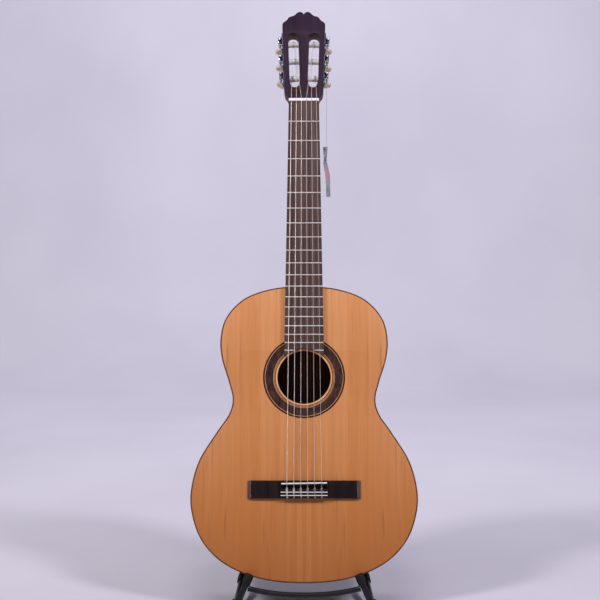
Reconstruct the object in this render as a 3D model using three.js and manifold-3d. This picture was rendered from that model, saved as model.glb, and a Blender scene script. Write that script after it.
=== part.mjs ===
// A classical guitar resting on a low folding tube stand.
// Millimetres, +Z up, origin on the floor under the middle of the whole. The guitar faces -Y with its bass
// side at -X, and leans back on the stand's padded bar. Touching pieces keep a small gap.
import * as THREE from 'three';
import { mergeVertices } from 'three/addons/utils/BufferGeometryUtils.js';
import Module from 'manifold-3d';

const wasm = await Module();
wasm.setup();

const DEG = Math.PI / 180;
const SIDES = { left: -1, right: 1 };

// ---- Driving dimensions ----
const GAP = 0.3;
const LEAN = 15 * DEG; // of the guitar, away from the viewer
const HEAD_TILT = 12 * DEG; // of the head behind the neck
const EDGE_Y = -147.5; // front bottom edge of the body, in the middle
const EDGE_Z = 45;

// Guitar frame: x across, y into the body from the soundboard's face, z up from the body's bottom edge
const BODY_LENGTH = 484;
const BODY_DEPTH = 96;
const HALF_OUTLINE = [
  [0, 0], [50, 3.2], [96, 14.5], [137, 36.5], [166, 68.5], [181, 108], [183.8, 142], [172, 192], [143, 240.5],
  [122.2, 272], [117.2, 294], [123.8, 323], [135.6, 361], [138.8, 392], [130.5, 429], [101, 462], [54, 479.8],
  [0, BODY_LENGTH],
];
const SOUNDBOARD_THICKNESS = 2.6;
const RIB_THICKNESS = 2;
const BACK_THICKNESS = 3;
const BINDING = { width: 2.2, depth: 5 };
const HOLE = { z: 331, radius: 44 };
const ROSETTE = { radius: 67.7, thickness: 0.9, recess: 1.2 };
const BAR = { height: 15, width: 8, above: 390, below: 268 };

const SCALE_LENGTH = 650;
const NUT_Z = 808;
const NUT = { thickness: 5, top: -9.2, halfWidth: 26 };
const JOINT_FRET_HALF_WIDTH = 31;
const FINGERBOARD = { thickness: 6.5, end: 365, arc: 47, frets: 19 };
const FRET = { height: 1.1, width: 1.2 };
const NECK = { depth: 15, headDepth: 20, bodyDepth: 17.5, heelDepth: 92, heelLength: 70, flareLength: 36 };

const BRIDGE = { z: 133.5, height: 28.8, halfWidth: 91.5, wing: 5, bevel: 5.5, centre: 38, block: 8.3 };
const TIE_BLOCK = 15; // height of the tie block; a recess lies between it and the saddle's ridge
const RECESS = { height: 5.8, floor: 3.5 };
const SADDLE = { z: 157.4, width: 2.4, base: 3, top: 12.6, slant: 1.05 * DEG };
const STRING_DIAMETERS = [1.1, 0.9, 0.75, 1.02, 0.82, 0.71]; // from the bass side
const STRING_PITCH = { nut: 8.66, bridge: 11.2 };
const STRING_Y = { nut: -8.9, saddle: -13.5, tie: -5 };

// Head frame: u up the head from the nut, y into the head from the face of its wood
const HEAD = { thickness: 18, plate: 2.5, middle: 94, halfWidth: 36.2, taper: 1.76 * DEG };
const SLOT = { low: 37, high: 142, width: 18, lowX: 15.8, highX: 18.6 };
const RAMP = { u: 19.4, length: 23, slope: 35 * DEG, halfWidth: 8 };
const ROLLER = { first: 53.5, pitch: 35.7, radius: 5, depth: 10, innerX: 5 };
const WORM = { offset: 9.2, out: 4.9, radius: 2.6, swell: 0.35, lead: 3, start: 7.4, end: 15.4, shaft: 1.2 };
const COLLAR = { radius: 2.8, front: [3.6, 5.2], back: [24, 27] }; // on each worm shaft
const GEAR = { teeth: 14, tip: 5.9, root: 4.5, start: 3.4, end: 6.4 };
const PLATE = { thickness: 1.3, front: 1.5, back: 19.5, low: -52, high: 53 };
const TAB = { reach: 8, thickness: 1.6, front: 5.5, back: 15.9, halfHeight: 3.2 };
const BUTTON = { start: 35.5, length: 13.5, width: 17, thickness: 6.6 };
const BUTTON_TURNS = { left: [35, 6, -8], right: [-12, 20, 5] }; // degrees about the worm shafts
const ROLLER_X = [21, 13.5, 17]; // where each string meets its roller, nearest roller first
const ROWS = [0, 1, 2]; // of tuners on each side, from the nut up

// Stand
const TUBE = 5; // radius
const BEND_REACH = 12; // from a bend's corner to where the tube is straight again
const RAIL = { backX: 102, frontX: 109.5, cornerZ: 27.8, cornerY: 98.5, slope: 9.8 * DEG, frontY: -16 };
const UPRIGHT = { behind: 12.3, topX: 92, endX: 78 };
const APEX = { y: 152.8, z: 196.8 }; // axis of the backrest bar, y from the body's edge
const HOOK = { x: 87.5, y: -9, topZ: 59.5 };
const BOOT = { radius: 7.2, below: 12.5, above: 3.5 }; // lengths from the tube's end
const BOW = { x: 88.2, y: -11.5, endZ: 40, z: 29.5, radius: 4.3 };
const SLEEVE = { radius: 7.4, from: 78, to: 101 };
const FOOT = { halfWidth: 8, height: 16, halfLength: 12 };
const FRONT_FOOT_Y = 2;
const REAR = { y: 225, z: 9.5, x: 68, collarX: 62, collarRadius: 8.2, collarWidth: 13, footX: 42 };
const PAD = { radius: 12, halfLength: 50 };

// Hang tag
const THREAD = { radius: 0.3, length: 117.5, depth: 21 };
const TAG = { width: 9, height: 89, thickness: 0.6, pinch: 18, slant: 1.9 * DEG };

// ---- Solids ----
function solid(geometry) {
  const bare = geometry.clone();
  bare.deleteAttribute('normal');
  bare.deleteAttribute('uv');
  const merged = mergeVertices(bare);
  const vertProperties = new Float32Array(merged.attributes.position.array);
  const triVerts = new Uint32Array(merged.index.array);
  return new wasm.Manifold(new wasm.Mesh({ numProp: 3, vertProperties, triVerts }));
}

function geometryOf(manifold) {
  const mesh = manifold.getMesh();
  const geometry = new THREE.BufferGeometry();
  geometry.setAttribute('position', new THREE.BufferAttribute(mesh.vertProperties, 3));
  geometry.setIndex(new THREE.BufferAttribute(mesh.triVerts, 1));
  return geometry;
}

function join(first, ...others) {
  return geometryOf(others.reduce((sum, other) => sum.add(solid(other)), solid(first)));
}

function cut(body, ...tools) {
  return geometryOf(tools.reduce((rest, tool) => rest.subtract(solid(tool)), solid(body)));
}

function common(first, second) {
  return geometryOf(solid(first).intersect(solid(second)));
}

// A box given by its lowest and highest corners
function block(low, high) {
  const size = high.map((value, i) => value - low[i]);
  const middle = high.map((value, i) => (value + low[i]) / 2);
  return new THREE.BoxGeometry(...size).translate(...middle);
}

// An outline in x and z, thickened along +y from its front
function plate(shape, front, depth, curveSegments = 5) {
  const geometry = new THREE.ExtrudeGeometry(shape, { depth, bevelEnabled: false, curveSegments });
  return geometry.rotateX(Math.PI / 2).translate(0, front + depth, 0);
}

// A disc or rod whose axis runs along +y
function rodY(radius, from, to, x, z, sides = 48) {
  const rod = new THREE.CylinderGeometry(radius, radius, to - from, sides);
  return rod.translate(0, (from + to) / 2, 0).translate(x, 0, z);
}

// A disc or rod whose axis runs along x
function rodX(radius, from, to, y, z, sides = 12) {
  const rod = new THREE.CylinderGeometry(radius, radius, Math.abs(to - from), sides);
  return rod.rotateZ(Math.PI / 2).translate((from + to) / 2, y, z);
}

function circle(radius, sides) {
  const angles = Array.from({ length: sides }, (_, i) => (i * 2 * Math.PI) / sides);
  return new THREE.Shape(angles.map((a) => new THREE.Vector2(radius * Math.cos(a), radius * Math.sin(a))));
}

// A path whose steps fall exactly on its corners
class Polyline extends THREE.Curve {
  constructor(points) {
    super();
    this.points = points;
  }

  getPoint(t, target = new THREE.Vector3()) {
    const place = t * (this.points.length - 1);
    const i = Math.min(Math.floor(place + 1e-6), this.points.length - 2);
    return target.lerpVectors(this.points[i], this.points[i + 1], place - i);
  }

  getPointAt(u, target) {
    return this.getPoint(u, target);
  }

  getTangentAt(u, target = new THREE.Vector3()) {
    const last = this.points.length - 1;
    const i = Math.round(u * last);
    target.set(0, 0, 0);
    if (i > 0) target.add(this.points[i].clone().sub(this.points[i - 1]).normalize());
    if (i < last) target.add(this.points[i + 1].clone().sub(this.points[i]).normalize());
    return target.normalize();
  }
}

function tube(points, radius, sides = 10) {
  const extrudePath = new Polyline(points);
  const steps = points.length - 1;
  return new THREE.ExtrudeGeometry(circle(radius, sides), { extrudePath, steps, bevelEnabled: false });
}

// Straight runs between the corners, each corner rounded from `reach` before it to `reach` after it
function bent(corners, reach, arcSteps = 4) {
  const points = [corners[0]];
  for (let i = 1; i < corners.length - 1; i += 1) {
    const start = corners[i].clone().lerp(corners[i - 1], reach / corners[i].distanceTo(corners[i - 1]));
    const end = corners[i].clone().lerp(corners[i + 1], reach / corners[i].distanceTo(corners[i + 1]));
    points.push(...new THREE.QuadraticBezierCurve3(start, corners[i], end).getPoints(arcSteps));
  }
  points.push(corners[corners.length - 1]);
  return points;
}

// ---- Materials ----
function finish(color, roughness, metalness = 0) {
  return new THREE.MeshStandardMaterial({ color, roughness, metalness, flatShading: true });
}

const CEDAR = finish(0xc8905c, 0.35);
const SPRUCE = finish(0xd8bd8c, 0.7);
const MAHOGANY = finish(0x7a4326, 0.35);
const ROSEWOOD = finish(0x33242b, 0.4);
const ROSETTE_DARK = finish(0x4b3334, 0.4);
const BONE = finish(0xe6e2da, 0.4);
const CHROME = finish(0xc9cdd2, 0.2, 1);
const ROLLER_WHITE = finish(0xe8e6e4, 0.4);
const PEARL = finish(0xe2c99a, 0.3);
const WOUND = finish(0xd8cdc6, 0.3, 0.8);
const NYLON = finish(0xe8dfd6, 0.2);
const POWDER_COAT = finish(0x1a1a1d, 0.45, 0.2);
const RUBBER = finish(0x121214, 0.8);
const FOAM = finish(0x1d1d20, 0.9);
const CLEAR_FILM = finish(0xb4b2be, 0.3);

function add(parent, name, geometry, material) {
  const mesh = new THREE.Mesh(geometry, material);
  mesh.name = name;
  parent.add(mesh);
  return mesh;
}

function frame(parent, x, y, z, rotationX = 0, rotationY = 0) {
  const group = new THREE.Group();
  group.position.set(x, y, z);
  group.rotation.set(rotationX, rotationY, 0);
  parent.add(group);
  return group;
}

// ---- Body ----
const OUTLINE_STEPS = 2; // per stretch between two outline points

function bodyPoints(inset) {
  const right = HALF_OUTLINE.map(([x, z]) => new THREE.Vector3(x, z, 0));
  const left = HALF_OUTLINE.slice(1, -1).reverse().map(([x, z]) => new THREE.Vector3(-x, z, 0));
  const curve = new THREE.CatmullRomCurve3([...right, ...left], true, 'centripetal');
  const count = curve.points.length * OUTLINE_STEPS;
  return Array.from({ length: count }, (_, i) => {
    const point = curve.getPoint(i / count);
    const along = curve.getTangent(i / count);
    return new THREE.Vector2(point.x - along.y * inset, point.y + along.x * inset);
  });
}

function bodyShape(inset, holeInset = null) {
  const shape = new THREE.Shape(bodyPoints(inset));
  if (holeInset !== null) shape.holes.push(new THREE.Path(bodyPoints(holeInset)));
  return shape;
}

function soundboard() {
  const board = plate(bodyShape(BINDING.width + GAP), 0, SOUNDBOARD_THICKNESS);
  const hole = rodY(HOLE.radius, -1, SOUNDBOARD_THICKNESS + 1, 0, HOLE.z);
  const recess = rodY(ROSETTE.radius + GAP, -1, ROSETTE.recess, 0, HOLE.z);
  return cut(board, hole, recess);
}

function rosette() {
  const ring = rodY(ROSETTE.radius, 0, ROSETTE.thickness, 0, HOLE.z);
  return cut(ring, rodY(HOLE.radius, -1, ROSETTE.thickness + 1, 0, HOLE.z));
}

function rib(side) {
  const half = (inset) => bodyPoints(inset).slice(0, ((HALF_OUTLINE.length - 1) * OUTLINE_STEPS) + 1);
  const loop = [...half(0), ...half(RIB_THICKNESS).reverse()];
  const points = loop.map((p) => new THREE.Vector2(side * Math.max(p.x, GAP / 2), p.y));
  const front = BINDING.depth + GAP;
  return plate(new THREE.Shape(points), front, BODY_DEPTH - BACK_THICKNESS - GAP - front);
}

// A piece of the space inside the ribs, between two heights
function insidePiece(halfWidth, low, high, back) {
  const front = SOUNDBOARD_THICKNESS + GAP;
  const inside = plate(bodyShape(BINDING.width + GAP), front, back - front);
  return common(inside, block([-halfWidth, 0, low], [halfWidth, BODY_DEPTH, high]));
}

function buildBody(guitar) {
  const backFace = BODY_DEPTH - BACK_THICKNESS;
  const barBack = SOUNDBOARD_THICKNESS + GAP + BAR.height;
  const bar = (z) => insidePiece(BODY_LENGTH, z - BAR.width / 2, z + BAR.width / 2, barBack);
  add(guitar, 'soundboard', soundboard(), CEDAR);
  add(guitar, 'edge_binding', plate(bodyShape(0, BINDING.width), 0, BINDING.depth), ROSEWOOD);
  add(guitar, 'left_rib', rib(SIDES.left), MAHOGANY);
  add(guitar, 'right_rib', rib(SIDES.right), MAHOGANY);
  add(guitar, 'back_plate', plate(bodyShape(0), backFace, BACK_THICKNESS), MAHOGANY);
  add(guitar, 'end_block', insidePiece(32, 0, 16, backFace - GAP), SPRUCE);
  add(guitar, 'neck_block', insidePiece(34, BODY_LENGTH - 32, BODY_LENGTH, backFace - GAP), SPRUCE);
  add(guitar, 'upper_harmonic_bar', bar(BAR.above), SPRUCE);
  add(guitar, 'lower_harmonic_bar', bar(BAR.below), SPRUCE);
  add(guitar, 'rosette', rosette(), ROSETTE_DARK);
}

// ---- Bridge ----
function stringX(index, pitch) {
  return (index - (STRING_DIAMETERS.length - 1) / 2) * pitch;
}

function bridge() {
  const { z, height, halfWidth, wing, bevel, centre, block: top } = BRIDGE;
  const ends = [[-halfWidth, -GAP], [-halfWidth, -2], [-halfWidth + bevel, -wing]];
  const profile = [...ends, ...ends.map(([x, y]) => [-x, y]).reverse()];
  const shape = new THREE.Shape(profile.map(([x, y]) => new THREE.Vector2(x, y)));
  const base = new THREE.ExtrudeGeometry(shape, { depth: height, bevelEnabled: false }).translate(0, 0, z);
  const ridgeZ = z + TIE_BLOCK + RECESS.height;
  const tieBlock = block([-centre, -top, z], [centre, -GAP, z + TIE_BLOCK]);
  const ridge = block([-centre, -top, ridgeZ], [centre, -GAP, z + height]);
  const recess = block([-centre, -top - 1, z + TIE_BLOCK], [centre, -RECESS.floor, ridgeZ]);
  const holes = STRING_DIAMETERS.map((diameter, i) => {
    const radius = diameter / 2 + GAP;
    const hole = new THREE.CylinderGeometry(radius, radius, TIE_BLOCK + 8, 8).rotateX(Math.PI / 2);
    return hole.translate(stringX(i, STRING_PITCH.bridge), STRING_Y.tie, z + TIE_BLOCK / 2);
  });
  return cut(join(base, tieBlock, ridge), recess, saddleBlank(GAP), ...holes);
}

function saddleBlank(extra) {
  const half = SADDLE.width / 2 + extra;
  const length = BRIDGE.centre - 1 + extra;
  const base = -SADDLE.base + extra;
  const blank = block([-length, -SADDLE.top, -half], [length, base, half]);
  return blank.rotateY(-SADDLE.slant).translate(0, 0, SADDLE.z);
}

function buildBridge(guitar) {
  add(guitar, 'bridge', bridge(), ROSEWOOD);
  add(guitar, 'saddle', saddleBlank(0), BONE);
}

// ---- Neck ----
function neckHalfWidth(z) {
  const growth = (JOINT_FRET_HALF_WIDTH - NUT.halfWidth) / (SCALE_LENGTH / 2);
  return NUT.halfWidth + (NUT_Z - z) * growth;
}

function neckDepth(z) {
  const heel = Math.max(0, 1 - (z - BODY_LENGTH) / NECK.heelLength);
  const flare = Math.max(0, 1 - (NUT_Z + NUT.thickness - z) / NECK.flareLength);
  const taper = NECK.depth + (NECK.bodyDepth - NECK.depth) * ((NUT_Z - z) / (SCALE_LENGTH / 2));
  return taper + (NECK.heelDepth - NECK.bodyDepth) * heel ** 2.4 + (NECK.headDepth - NECK.depth) * flare ** 2;
}

// A rounded section of unit size, stretched to the neck's width and depth at every height
function neck() {
  const angles = Array.from({ length: 11 }, (_, i) => (i * Math.PI) / 10);
  const section = new THREE.Shape(angles.map((a) => new THREE.Vector2(Math.cos(a), Math.sin(a) ** 0.8)));
  const geometry = new THREE.ExtrudeGeometry(section, { depth: 1, steps: 14, bevelEnabled: false });
  const low = BODY_LENGTH + GAP;
  const high = NUT_Z + NUT.thickness;
  const position = geometry.attributes.position;
  for (let i = 0; i < position.count; i += 1) {
    const z = low + (high - low) * position.getZ(i) ** 1.5;
    position.setXYZ(i, position.getX(i) * neckHalfWidth(z), position.getY(i) * neckDepth(z), z);
  }
  return geometry;
}

function fretZ(number) {
  return NUT_Z - SCALE_LENGTH * (1 - 2 ** (-number / 12));
}

function fingerboard() {
  const high = NUT_Z - GAP;
  const low = FINGERBOARD.end;
  const wide = neckHalfWidth(low);
  const narrow = NUT.halfWidth;
  const corners = [[-wide, low], [wide, low], [narrow, high], [-narrow, high]];
  const shape = new THREE.Shape(corners.map(([x, z]) => new THREE.Vector2(x, z)));
  const face = -GAP - FINGERBOARD.thickness;
  const frets = Array.from({ length: FINGERBOARD.frets }, (_, i) => {
    const z = fretZ(i + 1);
    const half = neckHalfWidth(z) - 0.2;
    return block([-half, face - FRET.height, z - FRET.width / 2], [half, face + 1, z + FRET.width / 2]);
  });
  const wood = join(plate(shape, face, FINGERBOARD.thickness), ...frets);
  return cut(wood, rodY(FINGERBOARD.arc, face - 5, 5, 0, HOLE.z));
}

function nut() {
  const bone = block([-NUT.halfWidth, NUT.top, NUT_Z], [NUT.halfWidth, -GAP, NUT_Z + NUT.thickness - GAP]);
  const slots = STRING_DIAMETERS.map((diameter, i) => {
    const radius = diameter / 2 + GAP;
    const slot = new THREE.CylinderGeometry(radius, radius, 4 * NUT.thickness, 8).rotateX(Math.PI / 2);
    return slot.translate(stringX(i, STRING_PITCH.nut), STRING_Y.nut, NUT_Z);
  });
  return cut(bone, ...slots);
}

function buildNeck(guitar) {
  add(guitar, 'neck', neck(), MAHOGANY);
  add(guitar, 'fingerboard', fingerboard(), ROSEWOOD);
  add(guitar, 'nut', nut(), BONE);
}

// ---- Head ----
function headHalfPoints() {
  const half = new THREE.Path();
  half.moveTo(26, 4);
  half.quadraticCurveTo(26.5, 11, 31.5, 16);
  half.quadraticCurveTo(34, 21, 34.2, 29);
  half.lineTo(38.1, 156);
  half.quadraticCurveTo(38.6, 163, 35, 166);
  half.quadraticCurveTo(30.5, 168.5, 28, 173.5);
  half.quadraticCurveTo(26, 177.3, 22.5, 177.8);
  half.quadraticCurveTo(17.5, 178.5, 14.2, 182.8);
  half.quadraticCurveTo(10.5, 188, 6.5, 187.6);
  half.quadraticCurveTo(2, 187, 0, 182.6);
  return half.getPoints(3);
}

function slotOutline(side) {
  const radius = SLOT.width / 2;
  const arc = (x, u, start) => Array.from({ length: 7 }, (_, i) => {
    const angle = start + (i * Math.PI) / 6;
    return new THREE.Vector2(side * x + radius * Math.cos(angle), u + radius * Math.sin(angle));
  });
  const high = arc(SLOT.highX, SLOT.high - radius, 0);
  const low = arc(SLOT.lowX, SLOT.low + radius, Math.PI);
  return new THREE.Path([...high, ...low]);
}

function headShape() {
  const right = headHalfPoints();
  const left = right.slice(0, -1).reverse().map((p) => new THREE.Vector2(-p.x, p.y));
  const shape = new THREE.Shape([...right, ...left]);
  Object.values(SIDES).forEach((side) => shape.holes.push(slotOutline(side)));
  return shape;
}

// Everything below the joint between the neck's end and the head
function belowJoint() {
  const end = NUT.thickness + GAP;
  return block([-50, -50, end - 60], [50, 50, end]).rotateX(HEAD_TILT);
}

// The slope that lets the strings run down into a slot
function ramp(side) {
  const tool = block([-RAMP.halfWidth, -15, -2], [RAMP.halfWidth, 0, RAMP.length]).rotateX(-RAMP.slope);
  return tool.translate(side * SLOT.lowX, -HEAD.plate - GAP, RAMP.u);
}

function rollerZ(row) {
  return ROLLER.first + row * ROLLER.pitch - HEAD.middle;
}

function rollerHoles(place, side) {
  const inner = ROLLER.innerX - HEAD.halfWidth - GAP;
  return ROWS.map((row) => {
    const hole = rodX(ROLLER.radius + GAP, side * inner, side * 20, ROLLER.depth, rollerZ(row));
    return hole.applyMatrix4(place.matrix);
  });
}

function lathe(profile, sides) {
  return new THREE.LatheGeometry(profile.map(([r, y]) => new THREE.Vector2(r, y)), sides);
}

function gearShape() {
  const pitch = (2 * Math.PI) / GEAR.teeth;
  const tooth = [[GEAR.root, -0.3], [GEAR.tip, -0.16], [GEAR.tip, 0.16], [GEAR.root, 0.3]];
  const points = Array.from({ length: GEAR.teeth }, (_, k) => tooth.map(([radius, part]) => {
    const angle = (k + part) * pitch;
    return new THREE.Vector2(radius * Math.cos(angle), radius * Math.sin(angle));
  }));
  return new THREE.Shape(points.flat());
}

// Along local x, from the blind hole in the head's middle bar out to the screw over the gear
function roller(side) {
  const { radius } = ROLLER;
  const inner = ROLLER.innerX - HEAD.halfWidth;
  const profile = [[0, inner], [radius, inner], [radius, -2 * GAP], [2, -2 * GAP], [2, GEAR.end],
    [2.8, GEAR.end], [2.8, GEAR.end + 0.8], [1.6, GEAR.end + 1.4], [0, GEAR.end + 1.4]];
  const gear = new THREE.ExtrudeGeometry(gearShape(), { depth: GEAR.end - GEAR.start, bevelEnabled: false });
  gear.translate(0, 0, GEAR.start).rotateY((side * Math.PI) / 2);
  return join(lathe(profile, 12).rotateZ((-side * Math.PI) / 2), gear);
}

// A rod whose radius swells and shrinks along a single helix
function wormThread() {
  const length = WORM.end - WORM.start;
  const geometry = new THREE.CylinderGeometry(WORM.radius, WORM.radius, length, 8, 12);
  const position = geometry.attributes.position;
  for (let i = 0; i < position.count; i += 1) {
    const [x, y, z] = [position.getX(i), position.getY(i), position.getZ(i)];
    const wave = Math.cos(Math.atan2(z, x) - (2 * Math.PI * y) / WORM.lead);
    const scale = 1 + (WORM.swell / WORM.radius) * wave;
    if (Math.hypot(x, z) > 1) position.setXYZ(i, x * scale, y, z * scale);
  }
  return geometry.translate(0, (WORM.start + WORM.end) / 2, 0);
}

function worm() {
  const { radius, front, back } = COLLAR;
  const end = BUTTON.start - GAP;
  const profile = [[0, front[0]], [radius, front[0]], [radius, front[1]], [WORM.shaft, front[1]],
    [WORM.shaft, back[0]], [radius, back[0]], [radius, back[1]], [1.6, back[1]], [1.6, end], [0, end]];
  return join(lathe(profile, 8), wormThread());
}

function button() {
  const bevel = 1.4;
  const half = BUTTON.width / 2;
  const shape = new THREE.Shape();
  shape.moveTo(-3, 0);
  shape.lineTo(3, 0);
  shape.quadraticCurveTo(half, 1.5, half, 0.52 * BUTTON.length);
  shape.quadraticCurveTo(half, BUTTON.length, 0, BUTTON.length);
  shape.quadraticCurveTo(-half, BUTTON.length, -half, 0.52 * BUTTON.length);
  shape.quadraticCurveTo(-half, 1.5, -3, 0);
  const geometry = new THREE.ExtrudeGeometry(shape, {
    depth: BUTTON.thickness - 2 * bevel,
    bevelThickness: bevel,
    bevelSize: bevel,
    bevelOffset: -bevel,
    bevelSegments: 1,
    curveSegments: 4,
  });
  return geometry.translate(0, BUTTON.start, bevel - BUTTON.thickness / 2);
}

function tunerPlate(side) {
  const box = (out, back, z) => block([Math.min(...out), back[0], z[0]], [Math.max(...out), back[1], z[1]]);
  const inner = side * GAP;
  const outer = side * (GAP + PLATE.thickness);
  const base = box([inner, outer], [PLATE.front, PLATE.back], [PLATE.low, PLATE.high]);
  const tabs = ROWS.flatMap((row) => [TAB.front, TAB.back].map((front) => {
    const z = rollerZ(row) + WORM.offset;
    const height = [z - TAB.halfHeight, z + TAB.halfHeight];
    return box([inner, side * TAB.reach], [front, front + TAB.thickness], height);
  }));
  const holes = ROWS.flatMap((row) => [
    rodY(WORM.shaft + GAP, 0, 20, side * WORM.out, rollerZ(row) + WORM.offset, 8),
    rodX(2 + GAP, -side, side * 3, ROLLER.depth, rollerZ(row), 8),
  ]);
  return cut(join(base, ...tabs), ...holes);
}

function buildTuners(place, name, side) {
  add(place, `${name}_tuner_plate`, tunerPlate(side), CHROME);
  ROWS.forEach((row) => {
    const label = `${name}_${row + 1}`;
    const axle = frame(place, 0, ROLLER.depth, rollerZ(row));
    const turn = BUTTON_TURNS[name][row] * DEG;
    const shaft = frame(place, side * WORM.out, 0, rollerZ(row) + WORM.offset, 0, turn);
    add(axle, `string_roller_${label}`, roller(side), ROLLER_WHITE);
    add(shaft, `worm_shaft_${label}`, worm(), CHROME);
    add(shaft, `tuner_button_${label}`, button(), PEARL);
  });
}

function buildHead(head) {
  const places = Object.entries(SIDES).map(([name, side]) => {
    const place = frame(head, side * HEAD.halfWidth, 0, HEAD.middle, 0, side * HEAD.taper);
    place.updateMatrix();
    return { name, side, place };
  });
  const ramps = Object.values(SIDES).map(ramp);
  const holes = places.flatMap(({ place, side }) => rollerHoles(place, side));
  const wood = plate(headShape(), 0, HEAD.thickness);
  const veneer = plate(headShape(), -GAP - HEAD.plate, HEAD.plate);
  add(head, 'headstock', cut(wood, belowJoint(), ...ramps, ...holes), MAHOGANY);
  add(head, 'headplate', cut(veneer, belowJoint(), ...ramps), ROSEWOOD);
  places.forEach(({ name, side, place }) => buildTuners(place, name, side));
}

// ---- Strings ----
// Through the tie block, over the saddle and the nut, and onto the front of its roller
function stringPoints(index, head) {
  const radius = STRING_DIAMETERS[index] / 2;
  const bass = index < ROWS.length;
  const row = bass ? index : STRING_DIAMETERS.length - 1 - index;
  const bridgeX = stringX(index, STRING_PITCH.bridge);
  const nutX = stringX(index, STRING_PITCH.nut);
  const rollerFront = ROLLER.depth - ROLLER.radius - radius - GAP;
  const rollerX = (bass ? -1 : 1) * ROLLER_X[row];
  const onRoller = new THREE.Vector3(rollerX, rollerFront, ROLLER.first + row * ROLLER.pitch);
  return [
    new THREE.Vector3(bridgeX, STRING_Y.tie, BRIDGE.z - 1.5),
    new THREE.Vector3(bridgeX, STRING_Y.tie, BRIDGE.z + TIE_BLOCK + 1),
    new THREE.Vector3(bridgeX, STRING_Y.saddle, SADDLE.z - SADDLE.width),
    new THREE.Vector3(nutX, STRING_Y.nut, NUT_Z),
    new THREE.Vector3(nutX, STRING_Y.nut, NUT_Z + NUT.thickness),
    onRoller.applyMatrix4(head.matrix),
  ];
}

function buildStrings(guitar, head) {
  head.updateMatrix();
  STRING_DIAMETERS.forEach((diameter, i) => {
    const name = `string_${STRING_DIAMETERS.length - i}`;
    const material = i < ROWS.length ? WOUND : NYLON;
    add(guitar, name, tube(stringPoints(i, head), diameter / 2, 8), material);
  });
}

// ---- Stand ----
function at(x, y, z) {
  return new THREE.Vector3(x, EDGE_Y + y, z);
}

function railZ(y) {
  return RAIL.cornerZ + (y - RAIL.cornerY) * Math.tan(RAIL.slope);
}

// The rails draw together towards the back
function railX(y) {
  const part = (y - RAIL.frontY) / (kneePlace().y - RAIL.frontY);
  return RAIL.frontX + (RAIL.backX - RAIL.frontX) * part;
}

// Where the line of the uprights, parallel to the guitar's back, meets the line of the rails
function kneePlace() {
  const footY = BODY_DEPTH * Math.cos(LEAN) + UPRIGHT.behind * Math.cos(LEAN);
  const footZ = EDGE_Z - (BODY_DEPTH + UPRIGHT.behind) * Math.sin(LEAN);
  const rise = (railZ(footY) - footZ) / (Math.cos(LEAN) - Math.sin(LEAN) * Math.tan(RAIL.slope));
  return { y: footY + rise * Math.sin(LEAN), z: footZ + rise * Math.cos(LEAN) };
}

// A point on the line of a front leg, counted upwards from the tube's end
function hookPlace(side, above) {
  const foot = at(side * RAIL.frontX, RAIL.frontY, railZ(RAIL.frontY));
  const end = at(side * HOOK.x, HOOK.y, HOOK.topZ);
  return end.clone().add(end.clone().sub(foot).setLength(above));
}

function sideTubePoints(side, longer = 0) {
  const knee = kneePlace();
  const corners = [
    at(side * UPRIGHT.endX, APEX.y, APEX.z),
    at(side * UPRIGHT.topX, APEX.y, APEX.z),
    at(side * RAIL.backX, knee.y, knee.z),
    at(side * RAIL.frontX, RAIL.frontY, railZ(RAIL.frontY)),
    hookPlace(side, longer),
  ];
  return bent(corners, BEND_REACH);
}

function bowPoints() {
  return Array.from({ length: 11 }, (_, i) => {
    const part = i / 5 - 1;
    return at(part * BOW.x, BOW.y, BOW.z + (BOW.endZ - BOW.z) * Math.abs(part) ** 2.3);
  });
}

function boot(side) {
  const { radius, below, above } = BOOT;
  const profile = [[0, -below], [radius, -below], [radius, above - 2], [radius - 2, above], [0, above]];
  const end = hookPlace(side, 0);
  const turn = new THREE.Quaternion().setFromUnitVectors(
    new THREE.Vector3(0, 1, 0),
    hookPlace(side, 1).sub(end),
  );
  const body = lathe(profile, 12).applyQuaternion(turn).translate(end.x, end.y, end.z);
  return cut(body, tube(sideTubePoints(side, GAP), TUBE + GAP));
}

function railSleeve(side) {
  const ends = [SLEEVE.from, SLEEVE.to].map((y) => at(side * railX(y), y, railZ(y)));
  return cut(tube(ends, SLEEVE.radius, 16), tube(sideTubePoints(side), TUBE + GAP));
}

// A rubber block around a tube, flat underneath. Its length runs along y, or across when turned
function footBlock(x, y, around, turned = false) {
  const { halfWidth, height, halfLength } = FOOT;
  const corners = [[-halfWidth, 0], [halfWidth, 0], [halfWidth, height - 4], [halfWidth - 4, height],
    [4 - halfWidth, height], [-halfWidth, height - 4]];
  const shape = new THREE.Shape(corners.map(([a, b]) => new THREE.Vector2(a, b)));
  const body = plate(shape, -halfLength, 2 * halfLength);
  if (turned) body.rotateZ(Math.PI / 2);
  const place = at(x, y, 0);
  return cut(body.translate(place.x, place.y, 0), tube(around, TUBE + GAP));
}

function rearPoints() {
  const corners = [
    at(-REAR.collarX, APEX.y, APEX.z),
    at(-REAR.x, REAR.y, REAR.z),
    at(REAR.x, REAR.y, REAR.z),
    at(REAR.collarX, APEX.y, APEX.z),
  ];
  return bent(corners, 2 * BEND_REACH);
}

function rearFrame() {
  const bar = at(0, APEX.y, APEX.z);
  const half = REAR.collarWidth / 2;
  const collars = Object.values(SIDES).map((side) => {
    const x = side * REAR.collarX;
    return rodX(REAR.collarRadius, x - half, x + half, bar.y, bar.z);
  });
  return cut(join(tube(rearPoints(), TUBE), ...collars), rodX(TUBE + GAP + 0.1, -75, 75, bar.y, bar.z));
}

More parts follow.
